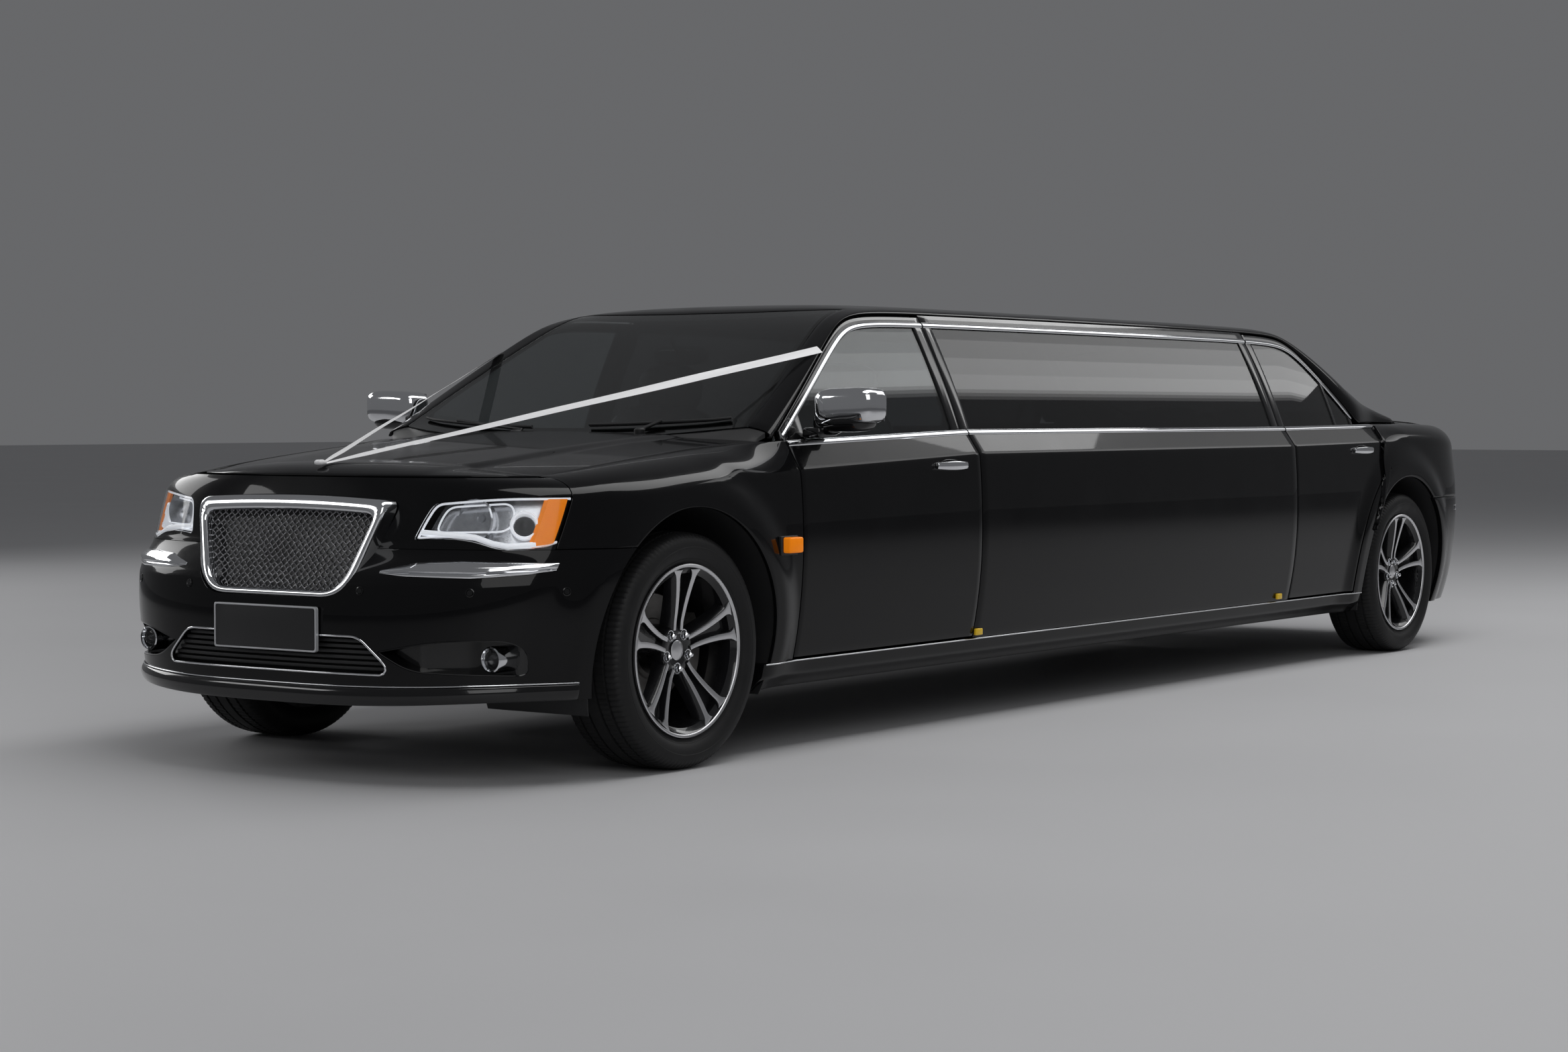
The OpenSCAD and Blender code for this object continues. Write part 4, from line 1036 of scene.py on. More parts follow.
back = bevel(slab("deck_back", 60, 30, lid_face, lid_inside), 2.5)
lid_arms = [block("deck_arm", (XR - 382, s * 706, belt_z(XR - 322) - 12), (160, 12, 14), 3) for s in (-1, 1)]
dress(join("trunk_panel", [deck, back] + lid_arms), "trunk_lid", PAINT, "paint", ("trunk_lid",))


def lid_bar_at(u, v, stand):
    return tail_pt((2 * u - 1) * tail_angle(600, 930), mix(918, 942, v), -stand)


bar = slab("trunk_bright_bar", 60, 6, lambda u, v: lid_bar_at(u, v, 6 * math.sin(math.pi * v) ** 0.6),
           lambda u, v: lid_bar_at(u, v, -3))
dress(bar, "trunk_lid", CHROME, "chrome")


# Nose
def rounded(line, radius, n=6):
    """An outline with its corners rounded; radius is one value or one for each corner."""
    out = []
    k = len(line)
    for i, p in enumerate(line):
        r = radius[i] if isinstance(radius, (list, tuple)) else radius
        a, b = line[i - 1], line[(i + 1) % k]
        da, db = math.dist(p, a), math.dist(p, b)
        ra, rb = min(r, 0.45 * da) / da, min(r, 0.45 * db) / db
        s = (mix(p[0], a[0], ra), mix(p[1], a[1], ra))
        e = (mix(p[0], b[0], rb), mix(p[1], b[1], rb))
        for t in span(0, 1, n):
            out.append(tuple((1 - t) ** 2 * s[j] + 2 * t * (1 - t) * p[j] + t * t * e[j] for j in (0, 1)))
    return out


def spread(line, n):
    """n points evenly spaced round an outline."""
    pts = line + line[:1]
    ds = [0.0]
    for a, b in zip(pts, pts[1:]):
        ds.append(ds[-1] + math.dist(a, b))
    out, j = [], 0
    for i in range(n):
        d = ds[-1] * i / n
        while ds[j + 1] < d:
            j += 1
        t = (d - ds[j]) / max(1e-9, ds[j + 1] - ds[j])
        out.append((mix(pts[j][0], pts[j + 1][0], t), mix(pts[j][1], pts[j + 1][1], t)))
    return out


def grown(line, d):
    """An outline moved outward (d > 0) or inward along its own normals, whichever way round it runs."""
    area = sum(a[0] * b[1] - b[0] * a[1] for a, b in zip(line, line[1:] + line[:1]))
    way = 1 if area > 0 else -1
    out = []
    for i, p in enumerate(line):
        a, b = line[i - 1], line[(i + 1) % len(line)]
        tx, ty = b[0] - a[0], b[1] - a[1]
        k = max(1e-6, math.hypot(tx, ty))
        out.append((p[0] + way * d * ty / k, p[1] - way * d * tx / k))
    return out


def arched(line, rise=12):
    """An outline whose upper side bows up at the middle."""
    return [(y, z + rise * unit((z - 700) / 80) * (1 - (y / 390) ** 2)) for y, z in line]


GRILLE = arched(spread(rounded([(-372, 832), (372, 832), (387, 808), (298, 545), (-298, 545), (-387, 808)],
                               [26, 26, 30, 95, 95, 30]), 160))
GRILLE_IN = arched(spread(rounded([(-336, 786), (336, 786), (346, 770), (268, 566), (-268, 566), (-346, 770)],
                                  [18, 18, 24, 70, 70, 24]), 160))
LAMP = rounded([(461, 715), (560, 722), (640, 716), (723, 688), (807, 692), (840, 712), (1010, 712),
                (1010, 846), (694, 844), (505, 827), (481, 778)],
               [14, 40, 40, 40, 40, 20, 1, 1, 60, 26, 40])
INTAKE = rounded([(-354, 436), (354, 436), (452, 350), (438, 326), (-438, 326), (-452, 350)],
                 [30, 30, 30, 14, 14, 30])
FOG = rounded([(412, 394), (520, 336), (700, 328), (797, 324), (802, 400), (770, 432), (606, 432)],
              [18, 50, 60, 24, 30, 30, 80])


def grille_x(z, proud=0.0):
    """The grille's leaning plane."""
    return XF + 846 - 0.2962 * (z - 545) + proud


def flip_y(line):
    """An outline on the car's other side."""
    return [(-y, z) for y, z in reversed(line)]


def nose_slab(name, nq, zs, d0, d1):
    """A closed shell on the nose over pairs of a height and the X at which it ends there."""
    k = len(zs) - 1

    def at(u, v, d):
        z, end_x = zs[min(int(round(v * k)), k)]
        return nose_pt((2 * u - 1) * nose_q(end_x, z, d), z, d)

    return shell(name, nq, k, at, d0, d1)


rows = [(z, XF + arch_dx(z)) for z in span(SILL_BOTTOM + 45, 560, 26)]
rows += [(z, XF + arch_dx(z)) for z in span(566, BUMPER_TOP, 28)]
rows += [(z, lamp_edge(z) + 3) for z in span(BUMPER_TOP + 1.5, 712, 5) + span(718, HOOD_FRONT_Z - 5, 26)]
bumper = nose_slab("front_bumper_cover", 150, rows, 0, 13)
for opening in (GRILLE, INTAKE, LAMP, flip_y(LAMP), FOG, flip_y(FOG)):
    cut(bumper, prism("cutter", opening, CUT_FROM, CUT_TO))
dress(bumper, "body", PAINT, "paint", ("front_bumper",), 30)

FLANGE_Z, FLANGE_WALL = HOOD_FRONT_Z - 22, 6
FLANGE_Q = nose_q(X_LAMP + 6, FLANGE_Z)
flange = shell("nose_flange", 90, 6,
               lambda u, v, low: nose_pt((2 * u - 1) * FLANGE_Q, FLANGE_Z - low, mix(9, 100, v)),
               0, FLANGE_WALL)
dress(flange, "body", PLASTIC, "black_plastic")


def lip_z(q, v):
    """Heights of the splitter, which dips at the middle."""
    dip = 10 * math.cos(3.2 * q) if abs(q) < 0.98 else -10
    return mix(240, 292, v) - dip * (1 - 0.4 * v)


LIP_END = nose_q(XF + 480, 260)


def lip_at(u, v, deep):
    q = (2 * u - 1) * LIP_END
    return nose_pt(q, lip_z(q, v), deep)


lip = slab("front_splitter", 120, 12,
           lambda u, v: lip_at(u, v, -16 * math.sin(math.pi * (0.12 + 0.84 * v)) ** 0.6),
           lambda u, v: lip_at(u, mix(0.1, 0.9, v), 8))
dress(bevel(lip, 2.5), "body", GLOSS, "black_plastic")
lip_line = rod("splitter_bright_line",
               [nose_pt(q, lip_z(q, 1) + 3, -3) for q in span(-LIP_END, LIP_END, 100)], 2.2)
dress(lip_line, "body", CHROME, "chrome")


# Grille: bright surround and woven mesh
def ring(name, outer, inner, profile, place):
    """A closed ring lofted between two outlines; profile gives share inward and proudness."""
    rings = []
    for a, b in zip(outer, inner):
        rings.append([place(mix(a[0], b[0], w), mix(a[1], b[1], w), d) for w, d in profile])
    return loft(name, rings)


SURROUND_PROFILE = [(-0.02, -44), (-0.02, 2), (0.03, 9), (0.10, 13.5), (0.18, 15), (0.72, 15.6), (0.84, 13.5),
                    (0.94, 7), (1, -8), (1, -44)]
surround = ring("grille_bright_surround", GRILLE, GRILLE_IN, SURROUND_PROFILE,
                lambda y, z, d: (grille_x(z, d), y, z))
dress(surround, "body", CHROME, "chrome", ("grille_surround",), 50)


def inside_runs(line, p, d):
    """Parameter runs of the straight line p + t d inside an outline."""
    ts = []
    for a, b in zip(line, line[1:] + line[:1]):
        ex, ey = b[0] - a[0], b[1] - a[1]
        det = d[0] * ey - d[1] * ex
        if abs(det) < 1e-9:
            continue
        t = ((a[0] - p[0]) * ey - (a[1] - p[1]) * ex) / det
        s = ((a[0] - p[0]) * d[1] - (a[1] - p[1]) * d[0]) / det
        if 0 <= s < 1:
            ts.append(t)
    ts.sort()
    return list(zip(ts[::2], ts[1::2]))


WIRE_PITCH, WIRE_R, LEAN = 17.0, 2.2, math.radians(40)
MESH_MID_Z, MESH_DEEP, WEAVE = 676, 16, 2.0
wires = []
hole = grown(GRILLE_IN, 3)
for way in (-1, 1):
    d = (math.cos(LEAN), way * math.sin(LEAN))
    nrm = (-d[1], d[0])
    for i in range(-38, 39):
        p = (nrm[0] * i * WIRE_PITCH, MESH_MID_Z + nrm[1] * i * WIRE_PITCH)
        for t0, t1 in inside_runs(hole, p, d):
            if t1 - t0 < 8:
                continue
            pts = []
            for t in span(t0, t1, max(3, int((t1 - t0) / 9))):
                y, z = p[0] + d[0] * t, p[1] + d[1] * t
                weave = way * WEAVE * math.cos(math.pi * (t / WIRE_PITCH * math.sin(2 * LEAN) + i))
                pts.append((grille_x(z, weave - MESH_DEEP), y, z))
            wires.append(rod("wire", pts, WIRE_R, steps=1))
mesh = join("grille_woven_mesh", wires)
dress(mesh, "body", MESH_METAL, "black_plastic", ("grille_mesh",), 60)
grille_back = prism("grille_back", grown(GRILLE_IN, 6), 0, 1)
for v in grille_back.data.vertices:
    v.co.x = grille_x(v.co.z / MM, -46 if v.co.x < 0.0005 else -40) * MM
dress(grille_back, "body", FRIT, "black_plastic")


# Headlamps
LAMP_LOW, LAMP_TOP = 676, 856


def lamp_piece(name, line, d0, d1, hole=None):
    """The part of a shell on the left of the nose that lies within an outline."""
    def at(u, v, d):
        z = mix(LAMP_LOW, LAMP_TOP, v)
        return nose_pt(mix(0.16, nose_q(lamp_edge(z) + 4, z, d), u), z, d)

    o = keep_within(shell(name, 70, 26, at, d0, d1), line)
    if hole:
        cut(o, prism("hole", hole, CUT_FROM - 10, CUT_TO + 10))
    return o


def onto_nose(o, y, z):
    """Turns a piece made about +X so that it stands on the nose."""
    p, a, b = Vector(nose_at(y, z)), Vector(nose_at(y + 6, z)), Vector(nose_at(y, z + 6))
    n = (a - p).cross(b - p)
    n = n.normalized() if n.x > 0 else -n.normalized()
    turn = Vector((1, 0, 0)).rotation_difference(n).to_matrix().to_4x4()
    o.data.transform(Matrix.Translation(p * MM) @ turn)
    return o


BOWL_X, BOWL_Y, BOWL_Z = XF + 596, 612, 776
BOWL = [(62, 40), (60, 34), (48, 8), (30, -10), (8, -18), (8, -22), (34, -14), (54, 6), (66, 36)]
BULB = [(0, 26), (9, 24), (16, 12), (18, -6), (18, -20), (0, -20)]
EYE_AT = (764, 767)
EYE_RING = [(33, -52), (40, -52), (43, -30), (42, -19), (38, -15), (34, -19), (33, -30)]
EYE_DOME = [(0, -22), (11, -24), (22, -29), (29, -38), (32, -47), (32, -51), (27, -46), (19, -36), (0, -27)]
EYE_SHADE = [(0, -30), (14, -33), (25, -40), (31, -49), (32, -60), (0, -62)]


def eye_part(name, profile, n, close=False):
    """A turned part of the projector, square to the nose."""
    return onto_nose(turned(name, profile, n, "X", (0, 0, 0), close), *EYE_AT)


lamp_seat = lamp_piece("lamp_seat", grown(LAMP, -1.5), 54, 60)
lamp_wall = lamp_piece("lamp_wall", grown(LAMP, -1.0), 5, 56, grown(LAMP, -6))
lamp_bowl = turned("lamp_bowl", BOWL, 48, "X", (BOWL_X, BOWL_Y, BOWL_Z))
dress(both_sides(join("headlamp_reflectors", [lamp_seat, lamp_wall, lamp_bowl])), "body", REFLECTOR,
      "reflector", ("headlamps",), 40)
# The bright rings glow with painted light.
dress(both_sides(eye_part("headlamp_bright_rings", EYE_RING, 48, True)), "body", LIGHT_BAR, "reflector")
dome = eye_part("lamp_dome", EYE_DOME, 40)
bulb = turned("lamp_bulb", BULB, 32, "X", (BOWL_X - 2, BOWL_Y, BOWL_Z), False)
dress(both_sides(join("headlamp_projectors", [dome, bulb])), "body", LENS, "glass")
# The shades are near-black discs behind the domes that paint the projector lenses' dark look.
dress(both_sides(eye_part("headlamp_shades", EYE_SHADE, 40)), "body", EYE, "black_plastic")
loop = spread(rounded([(512, 738), (706, 742), (724, 772), (708, 824), (538, 812), (520, 780)], 24), 80)
guide = rod("lamp_loop", [nose_at(y, z, 26) for y, z in loop], 3.0, True)
foot_line = [(478, 738), (560, 733), (640, 726), (690, 708), (730, 700), (800, 706)]
foot_bar = rod("lamp_foot", [nose_at(mix(p[0], q[0], k / 6), mix(p[1], q[1], k / 6), 12)
                             for p, q in zip(foot_line, foot_line[1:]) for k in range(6)], 9)
rim_pts = [(y, z) for y, z in spread(grown(LAMP, -7), 260)
           if y < 838 and nose_at(y, z)[0] > lamp_edge(z) + 9]
jump = max(range(len(rim_pts)), key=lambda i: math.dist(rim_pts[i - 1], rim_pts[i]))
lamp_line = rod("lamp_line", [nose_at(y, z, 9) for y, z in rim_pts[jump:] + rim_pts[:jump]], 3.4)
# The light bars glow with painted light.
dress(both_sides(join("headlamp_light_bars", [guide, foot_bar, lamp_line])), "body", LIGHT_BAR, "reflector")


def amber_at(u, v, deep):
    """Point of the amber corner along the lamp's rear edge."""
    z = mix(LAMP_LOW + 8, LAMP_TOP - 6, v)
    return nose_pt(nose_q(lamp_edge(z) + mix(52, 7, u), z, deep), z, deep)


# The amber corners glow with painted light.
amber = keep_within(shell("headlamp_amber_parts", 12, 24, amber_at, 6, 16), grown(LAMP, -5))
dress(both_sides(amber), "body", AMBER, "amber_lens")
lens = lamp_piece("headlamp_lens_covers", grown(LAMP, -1.2), 0.5, 4)
dress(both_sides(lens), "body", LENS, "glass", ("headlamp_lenses",), 40)

# Bright strips under the lamps
BAR_LOW = [(0, 622), (0.12, 615), (0.5, 611), (0.85, 621), (1, 632)]
BAR_TOP = [(0, 630), (0.16, 654), (0.4, 660), (1, 653)]
BAR_RIDGE, BAR_RIDGE_AT = 13, 0.62


def between(table, t):
    """Value at t of a line through pairs of place and value."""
    for (a, x), (b, y) in zip(table, table[1:]):
        if t <= b:
            return mix(x, y, (t - a) / (b - a))
    return table[-1][1]


def low_bar_at(u, v, stand):
    """Point of a bright strip, from beside the grille to the corner."""
    z = mix(between(BAR_LOW, u), between(BAR_TOP, u), v)
    q = mix(nose_q(nose_at(404, 628)[0], 628), nose_q(XF + 546, 642), u)
    return nose_pt(q, z, -stand)


def low_bar_face(u, v):
    """A bright blade with a ridge over a shadow line."""
    if v < BAR_RIDGE_AT:
        ridge = BAR_RIDGE * (1 - abs(v - BAR_RIDGE_AT) / BAR_RIDGE_AT) ** 0.7
    else:
        ridge = BAR_RIDGE * (1 - (v - BAR_RIDGE_AT) / (1 - BAR_RIDGE_AT)) ** 0.5
    groove = 4 * math.exp(-((v - 0.27) / 0.06) ** 2)
    return low_bar_at(u, v, 1 + (ridge - groove) * min(1.0, 8 * u + 0.1, 8 * (1 - u) + 0.2))


low_bar = slab("bumper_bright_strips", 60, 22, low_bar_face, lambda u, v: low_bar_at(u, v, -4))
dress(both_sides(low_bar), "body", CHROME, "chrome")


# Lower intake and fog lamps
def slat(z):
    """One bar of the lower intake."""
    half = mix(450, 356, unit((z - 350) / 84))
    end = nose_q(nose_at(half + 2, z)[0], z)

    def at(u, low, tall, deep):
        return nose_pt((2 * u - 1) * end, low + tall, deep)

    bar = slab("slat", 60, 2, lambda u, v: at(u, z - 5, 10 * v, 16), lambda u, v: at(u, z - 3, 8 * v, 42))
    return bevel(bar, 2)


slats = [slat(z) for z in (342, 358, 374, 390, 406, 422)]
back_plate = shell("intake_back", 50, 4,
                   lambda u, v, d: nose_pt((2 * u - 1) * 0.36, mix(320, 440, v), d), 60, 66)
dress(join("lower_intake_slats", slats + [back_plate]), "body", PLASTIC, "black_plastic", ("lower_grille",))
intake_rim = rod("intake_bright_outline", [nose_at(y, z, 0) for y, z in spread(INTAKE, 160)], 3.6, True)
dress(intake_rim, "body", CHROME, "chrome")

FOG_BACK = XF + 640


def fog_floor_x(y, z):
    """The pocket slopes back from its inner tip to the lamp."""
    skin_x = nose_at(y, z)[0]
    return min(skin_x - 5, mix(XF + 842, FOG_BACK, ease((y - 418) / 225)), max(FOG_BACK, skin_x - 60))


def fog_floor_at(u, v, deep):
    y, z = mix(404, 812, u), mix(316, 440, v)
    return (fog_floor_x(y, z) - deep, y, z)


pocket_floor = keep_within(shell("fog_floor", 60, 20, fog_floor_at, 0, 5), grown(FOG, -0.8))
fog_line = spread(FOG, 140)
wall_rings = []
for (y, z), (y_in, z_in) in zip(grown(fog_line, -0.8), grown(fog_line, -4)):
    front, rear = nose_at(y, z)[0] - 2, fog_floor_x(y, z) - 4
    wall_rings.append([(front, y, z), (rear, y, z), (rear, y_in, z_in), (front, y_in, z_in)])
pocket_wall = loft("fog_wall", wall_rings)
dress(both_sides(join("fog_lamp_pockets", [pocket_floor, pocket_wall])), "body", GLOSS, "black_plastic",
      ("fog_pockets",), 40)
FOG_AT = (XF + 672, 716, 374)
FOG_RING = [(30, -60), (38, -60), (40, 10), (38, 18), (34, 20), (30, 13)]
FOG_BOWL = [(29, 6), (24, -8), (13, -16), (4, -19), (4, -23), (27, -13), (32, 4)]
FOG_LENS = [(0, 16), (14, 14), (26, 10), (31, 7), (31, 3), (0, 5)]
fog_ring = turned("fog_lamp_rings", FOG_RING, 48, "X", FOG_AT)
fog_bowl = turned("fog_lamp_bowls", FOG_BOWL, 40, "X", FOG_AT)
dress(both_sides(fog_ring), "body", CHROME, "chrome", ("fog_lamps",))
dress(both_sides(fog_bowl), "body", POCKET, "black_plastic")
fog_lens = turned("fog_lamp_lenses", FOG_LENS, 40, "X", FOG_AT, False)
dress(both_sides(fog_lens), "body", LENS, "glass")

SENSOR = [(0, 2), (8, 2), (9, 0.5), (10.5, 2.4), (13, 2), (13, -4), (0, -4)]
SENSOR_Z = 570
sensors = [onto_nose(turned("sensor", SENSOR, 28, "X", (0, 0, 0), False), s * y, SENSOR_Z)
           for y in (355, 686, 872) for s in (-1, 1)]
dress(join("parking_sensors", sensors), "body", GLOSS, "black_plastic")

PLATE_W, PLATE_H, PLATE_RIM, PLATE_Z = 424, 134, 5, 452
plate_x = nose_x(PLATE_Z) + 10


def plate_line(inside, radius):
    y, z = PLATE_W / 2 - inside, PLATE_H / 2 - inside
    return rounded([(-y, PLATE_Z - z), (y, PLATE_Z - z), (y, PLATE_Z + z), (-y, PLATE_Z + z)], radius)


plate_rim = ring("plate_rim", plate_line(0, 10), plate_line(PLATE_RIM, 8),
                 [(0, -8), (0, 3), (0.5, 4.5), (1, 3), (1, -8)], lambda y, z, d: (plate_x + d, y, z))
dress(plate_rim, "body", PALE, "chrome")
plate_face = block("blank_number_plate", (plate_x - 2, 0, PLATE_Z), (6, PLATE_W - 9, PLATE_H - 9), 2)
dress(plate_face, "body", PLATE, "black_plastic")

# Sills
SILL_FROM, SILL_TO = XR + 436, XF - 402


def sill_face(u, v):
    x, z = mix(SILL_FROM, SILL_TO, u), mix(SILL_BOTTOM, SILL_LINE - 1, v)
    return (x, side_y(x, max(z, 225)) - 0.9 * max(0, 250 - z), z)


def sill_inside(u, v):
    x, _, z = sill_face(u, v)
    return (x, DOOR_INNER - 4, z)


sill = slab("sill_covers", 60, 12, sill_face, sill_inside)
dress(both_sides(bevel(sill, 2)), "body", PAINT, "paint", ("side_sills",))
sill_pts = [(x, side_y(x, 292) + 1.0, 291) for x in span(SILL_FROM + 4, SILL_TO - 8, 70)]
dress(both_sides(rod("sill_bright_lines", sill_pts, 2.6)), "body", CHROME, "chrome")

# Wheel arch liners: an inner wall round the tyre and a barrel out to the body's side
LINER_IN, LINER_R, LINER_Y = 300, ARCH_R + 6, 470


def liner_at(xw, angle, v):
    """Point of a liner: v runs up its inner wall and then outward along the barrel."""
    c, s = math.cos(math.radians(angle)), math.sin(math.radians(angle))
    r = mix(LINER_IN, LINER_R, unit(v / 0.4))
    edge = side_y(xw + LINER_R * c, TYRE_R + LINER_R * s) - 8
    return (xw + r * c, mix(LINER_Y, edge, unit((v - 0.4) / 0.6)), TYRE_R + r * s)


liners = []
for xw, lo, hi in ((XF, -22, 202), (XR, -20, 200)):
    liners.append(thick(sheet("liner", 60, 10, lambda u, v: liner_at(xw, mix(lo, hi, u), v),
                              lambda p: Vector((xw * MM - p.x, 0.2, TYRE_R * MM - p.z))), 4, 0))
dress(both_sides(join("arch_liners", liners)), "body", PLASTIC, "black_plastic")

# Side lamps
REPEATER_X, REPEATER_Z = XF - 485, 671
rep_y = max(side_y(REPEATER_X + 26, z) for z in (650, 696))
rep_base = block("repeater_base", (REPEATER_X, rep_y + 4, REPEATER_Z - 2), (92, 14, 62), 4)
dress(both_sides(rep_base), "body", PLASTIC, "black_plastic")
# The repeaters' amber lenses glow with painted light.
rep_lens = block("side_repeaters", (REPEATER_X, rep_y + 22, REPEATER_Z), (74, 34, 50), 7, 4)
dress(both_sides(rep_lens), "body", AMBER, "amber_lens", ("marker_lamps",))
marks = [block("marker", (x, side_y(x, 322) + 5, 316), (44, 13, 24), 4)
         for x in (X_DOOR_REAR - 22, X_REAR_DOOR + 110)]
dress(both_sides(join("sill_markers", marks)), "body", YELLOW, "amber_lens")


# Door mirrors
def squared(c, power):
    """A direction's point on a sphere that is squared off."""
    return c * (abs(c.x) ** power + abs(c.y) ** power + abs(c.z) ** power) ** (-1 / power)


def ball(name, segments, rings):
    bpy.ops.object.select_all(action="DESELECT")
    bpy.ops.mesh.primitive_uv_sphere_add(segments=segments, ring_count=rings, radius=1)
    o = bpy.context.object
    o.name = o.data.name = name
    return o


def egg(name, centre, size, power):
    """A rounded box: a sphere primitive squared off."""
    o = ball(name, 40, 28)
    for v in o.data.vertices:
        p = squared(v.co, power)
        v.co = Vector((p.x * size[0], p.y * size[1], p.z * size[2])) * MM + Vector(centre) * MM
    return o


MIRROR_X, MIRROR_Y, MIRROR_Z = X_DOOR - 182, 992, 1112
MIRROR_CUT = MIRROR_X - 40  # the cap is cut flat here for the glass
cap_shell = egg("mirror_cap", (MIRROR_X, MIRROR_Y, MIRROR_Z), (66, 118, 60), 4.2)
for v in cap_shell.data.vertices:
    lift = (v.co.y / MM - 990) / 122
    v.co.z += MM * (3 * lift - 14 * unit(-lift) * unit((MIRROR_Z - v.co.z / MM) / 40))
    v.co.x = max(v.co.x, MIRROR_CUT * MM)
mirror_base = [block("mirror_foot", (MIRROR_X + 2, 872, 1026), (110, 74, 34), 12, 4),
               egg("mirror_arm", (MIRROR_X + 6, 908, 1058), (44, 46, 40), 3.0),
               egg("mirror_under", (MIRROR_X + 4, 980, 1062), (58, 100, 34), 3.0)]
glass_face = block("mirror_face", (MIRROR_CUT - 2, MIRROR_Y + 2, MIRROR_Z), (6, 204, 98), 2.5)
on_doors(cap_shell, "front", CHROME, "chrome", ("mirror_",))
on_doors(join("mirror_base", mirror_base), "front", GLOSS, "frame_black", ())
on_doors(glass_face, "front", DARK_CHROME, "chrome", ())


# Wheels, made once about Y with the outer face toward +Y
SPOKE_PAIRS = 5


def face_height(r):
    """The spokes' face across the wheel, dished toward the hub."""
    return mix(64, 72, r / 90) if r < 90 else mix(72, 100, (r - 90) / 135)


def spoke_mid(r):
    """Half the distance between the two bands of a pair."""
    return 17 + 28 * unit((r - 66) / 178) ** 2


def spoke(turn, side):
    """One of a pair of thin machined bands with a dark flank that slopes back."""
    def band(u, v, h, low):
        r = mix(60, 248, u)
        half = 7.5 + 3.5 * unit((r - 70) / 150) + 15 * unit((r - 216) / 32) ** 2.5
        x = side * (spoke_mid(r) + (2 * v - 1) * (half + 1.5 * low) + 15 * low * v)
        return (x, r, face_height(math.hypot(x, r)) - h)

    o = slab("spoke", 30, 6, lambda u, v: band(u, v, 1.2 * (2 * v - 1) ** 2, 0),
             lambda u, v: band(u, v, mix(46, 36, u), 1))
    return stand_up(bevel(o, 1.4, 2, 40), turn)


def spoke_web(turn):
    """The dark floor of the slot between a pair."""
    def at(u, v, h):
        r = mix(58, 236, u)
        x = (2 * v - 1) * spoke_mid(r)
        return (x, r, face_height(r) - h)

    web = slab("web", 16, 4, lambda u, v: at(u, v, mix(20, 30, u)), lambda u, v: at(u, v, 42))
    return stand_up(web, turn)


def stand_up(o, turn):
    """Turns a part made in X and Y to its place in the wheel, which stands about Y."""
    o.data.transform(Matrix.Rotation(math.radians(360 / SPOKE_PAIRS * turn), 4, "Z"))
    o.data.transform(Matrix.Rotation(math.radians(90), 4, "X") @ Matrix.Diagonal((1, 1, -1, 1)))
    o.data.flip_normals()
    return o


def two_tone(o, face, rest, share=0.8):
    """One finish on the faces that look outward, another on the rest."""
    o.data.materials.append(face)
    o.data.materials.append(rest)
    for p in o.data.polygons:
        p.material_index = 0 if p.normal.y > share else 1
    return o


spoke_bands = [spoke(k, d) for k in range(SPOKE_PAIRS) for d in (-1, 1)]
spoke_webs = [spoke_web(k) for k in range(SPOKE_PAIRS)]
spokes = two_tone(join("spokes", spoke_bands + spoke_webs), ALLOY, POCKET, 0.9)
for p in spokes.data.polygons:
    c = p.center / MM
    if c.y < face_height(math.hypot(c.x, c.z)) - 8:
        p.material_index = 1
BARREL = [(236, -112), (266, -112), (266, -104), (247, -92), (241, -62), (241, 62), (247, 90), (266, 101),
          (266, 108), (258, 110), (250, 100), (237, 92), (231, 60), (231, -100)]
RIM_LIP = [(254, 103), (255, 107.5), (258, 110.5), (263, 111.5), (266, 109.5), (266.5, 103), (257, 101)]
HUB = [(0, 60), (30, 60), (34, 62), (62, 65), (74, 62), (78, 54), (78, -58), (0, -58)]
HUB_CAP = [(0, 72), (14, 71.5), (26, 69), (31, 65), (31, 58), (0, 58)]
NUT = [(0, 84), (6, 83), (10, 79), (11, 60), (0, 60)]
NUT_SEAT = [(12, 58), (15, 66), (17.5, 66.5), (18, 58)]
NUT_CIRCLE = 56
DISC = [(70, -60), (170, -60), (172, -57), (172, -38), (170, -35), (96, -35), (92, -30), (70, -30)]
barrel = two_tone(turned("barrel", BARREL, 96), POCKET, POCKET)
rim_lip = two_tone(turned("rim_lip", RIM_LIP, 120), ALLOY, ALLOY)
hub = two_tone(turned("hub", HUB, 60, close=False), POCKET, POCKET)
cap = two_tone(turned("hub_cap", HUB_CAP, 40, close=False), ALLOY, DARK_CHROME, 0.5)
nuts = []
for k in range(5):
    a = math.radians(90 + 36 + 72 * k)
    c = (NUT_CIRCLE * math.cos(a), 0, NUT_CIRCLE * math.sin(a))
    nuts.append(turned("nut", NUT, 6, "Y", c, False))
    nuts.append(turned("nut_seat", NUT_SEAT, 24, "Y", c))
nuts = two_tone(join("nuts", nuts), CHROME, CHROME)
disc = two_tone(turned("disc", DISC, 80), IRON, IRON)
wheel_parts = join("wheel_master", [spokes, barrel, rim_lip, hub, cap, nuts, disc])

GROOVES = (-66, -24, 24, 66)
TYRE_HALF_W = 122.5


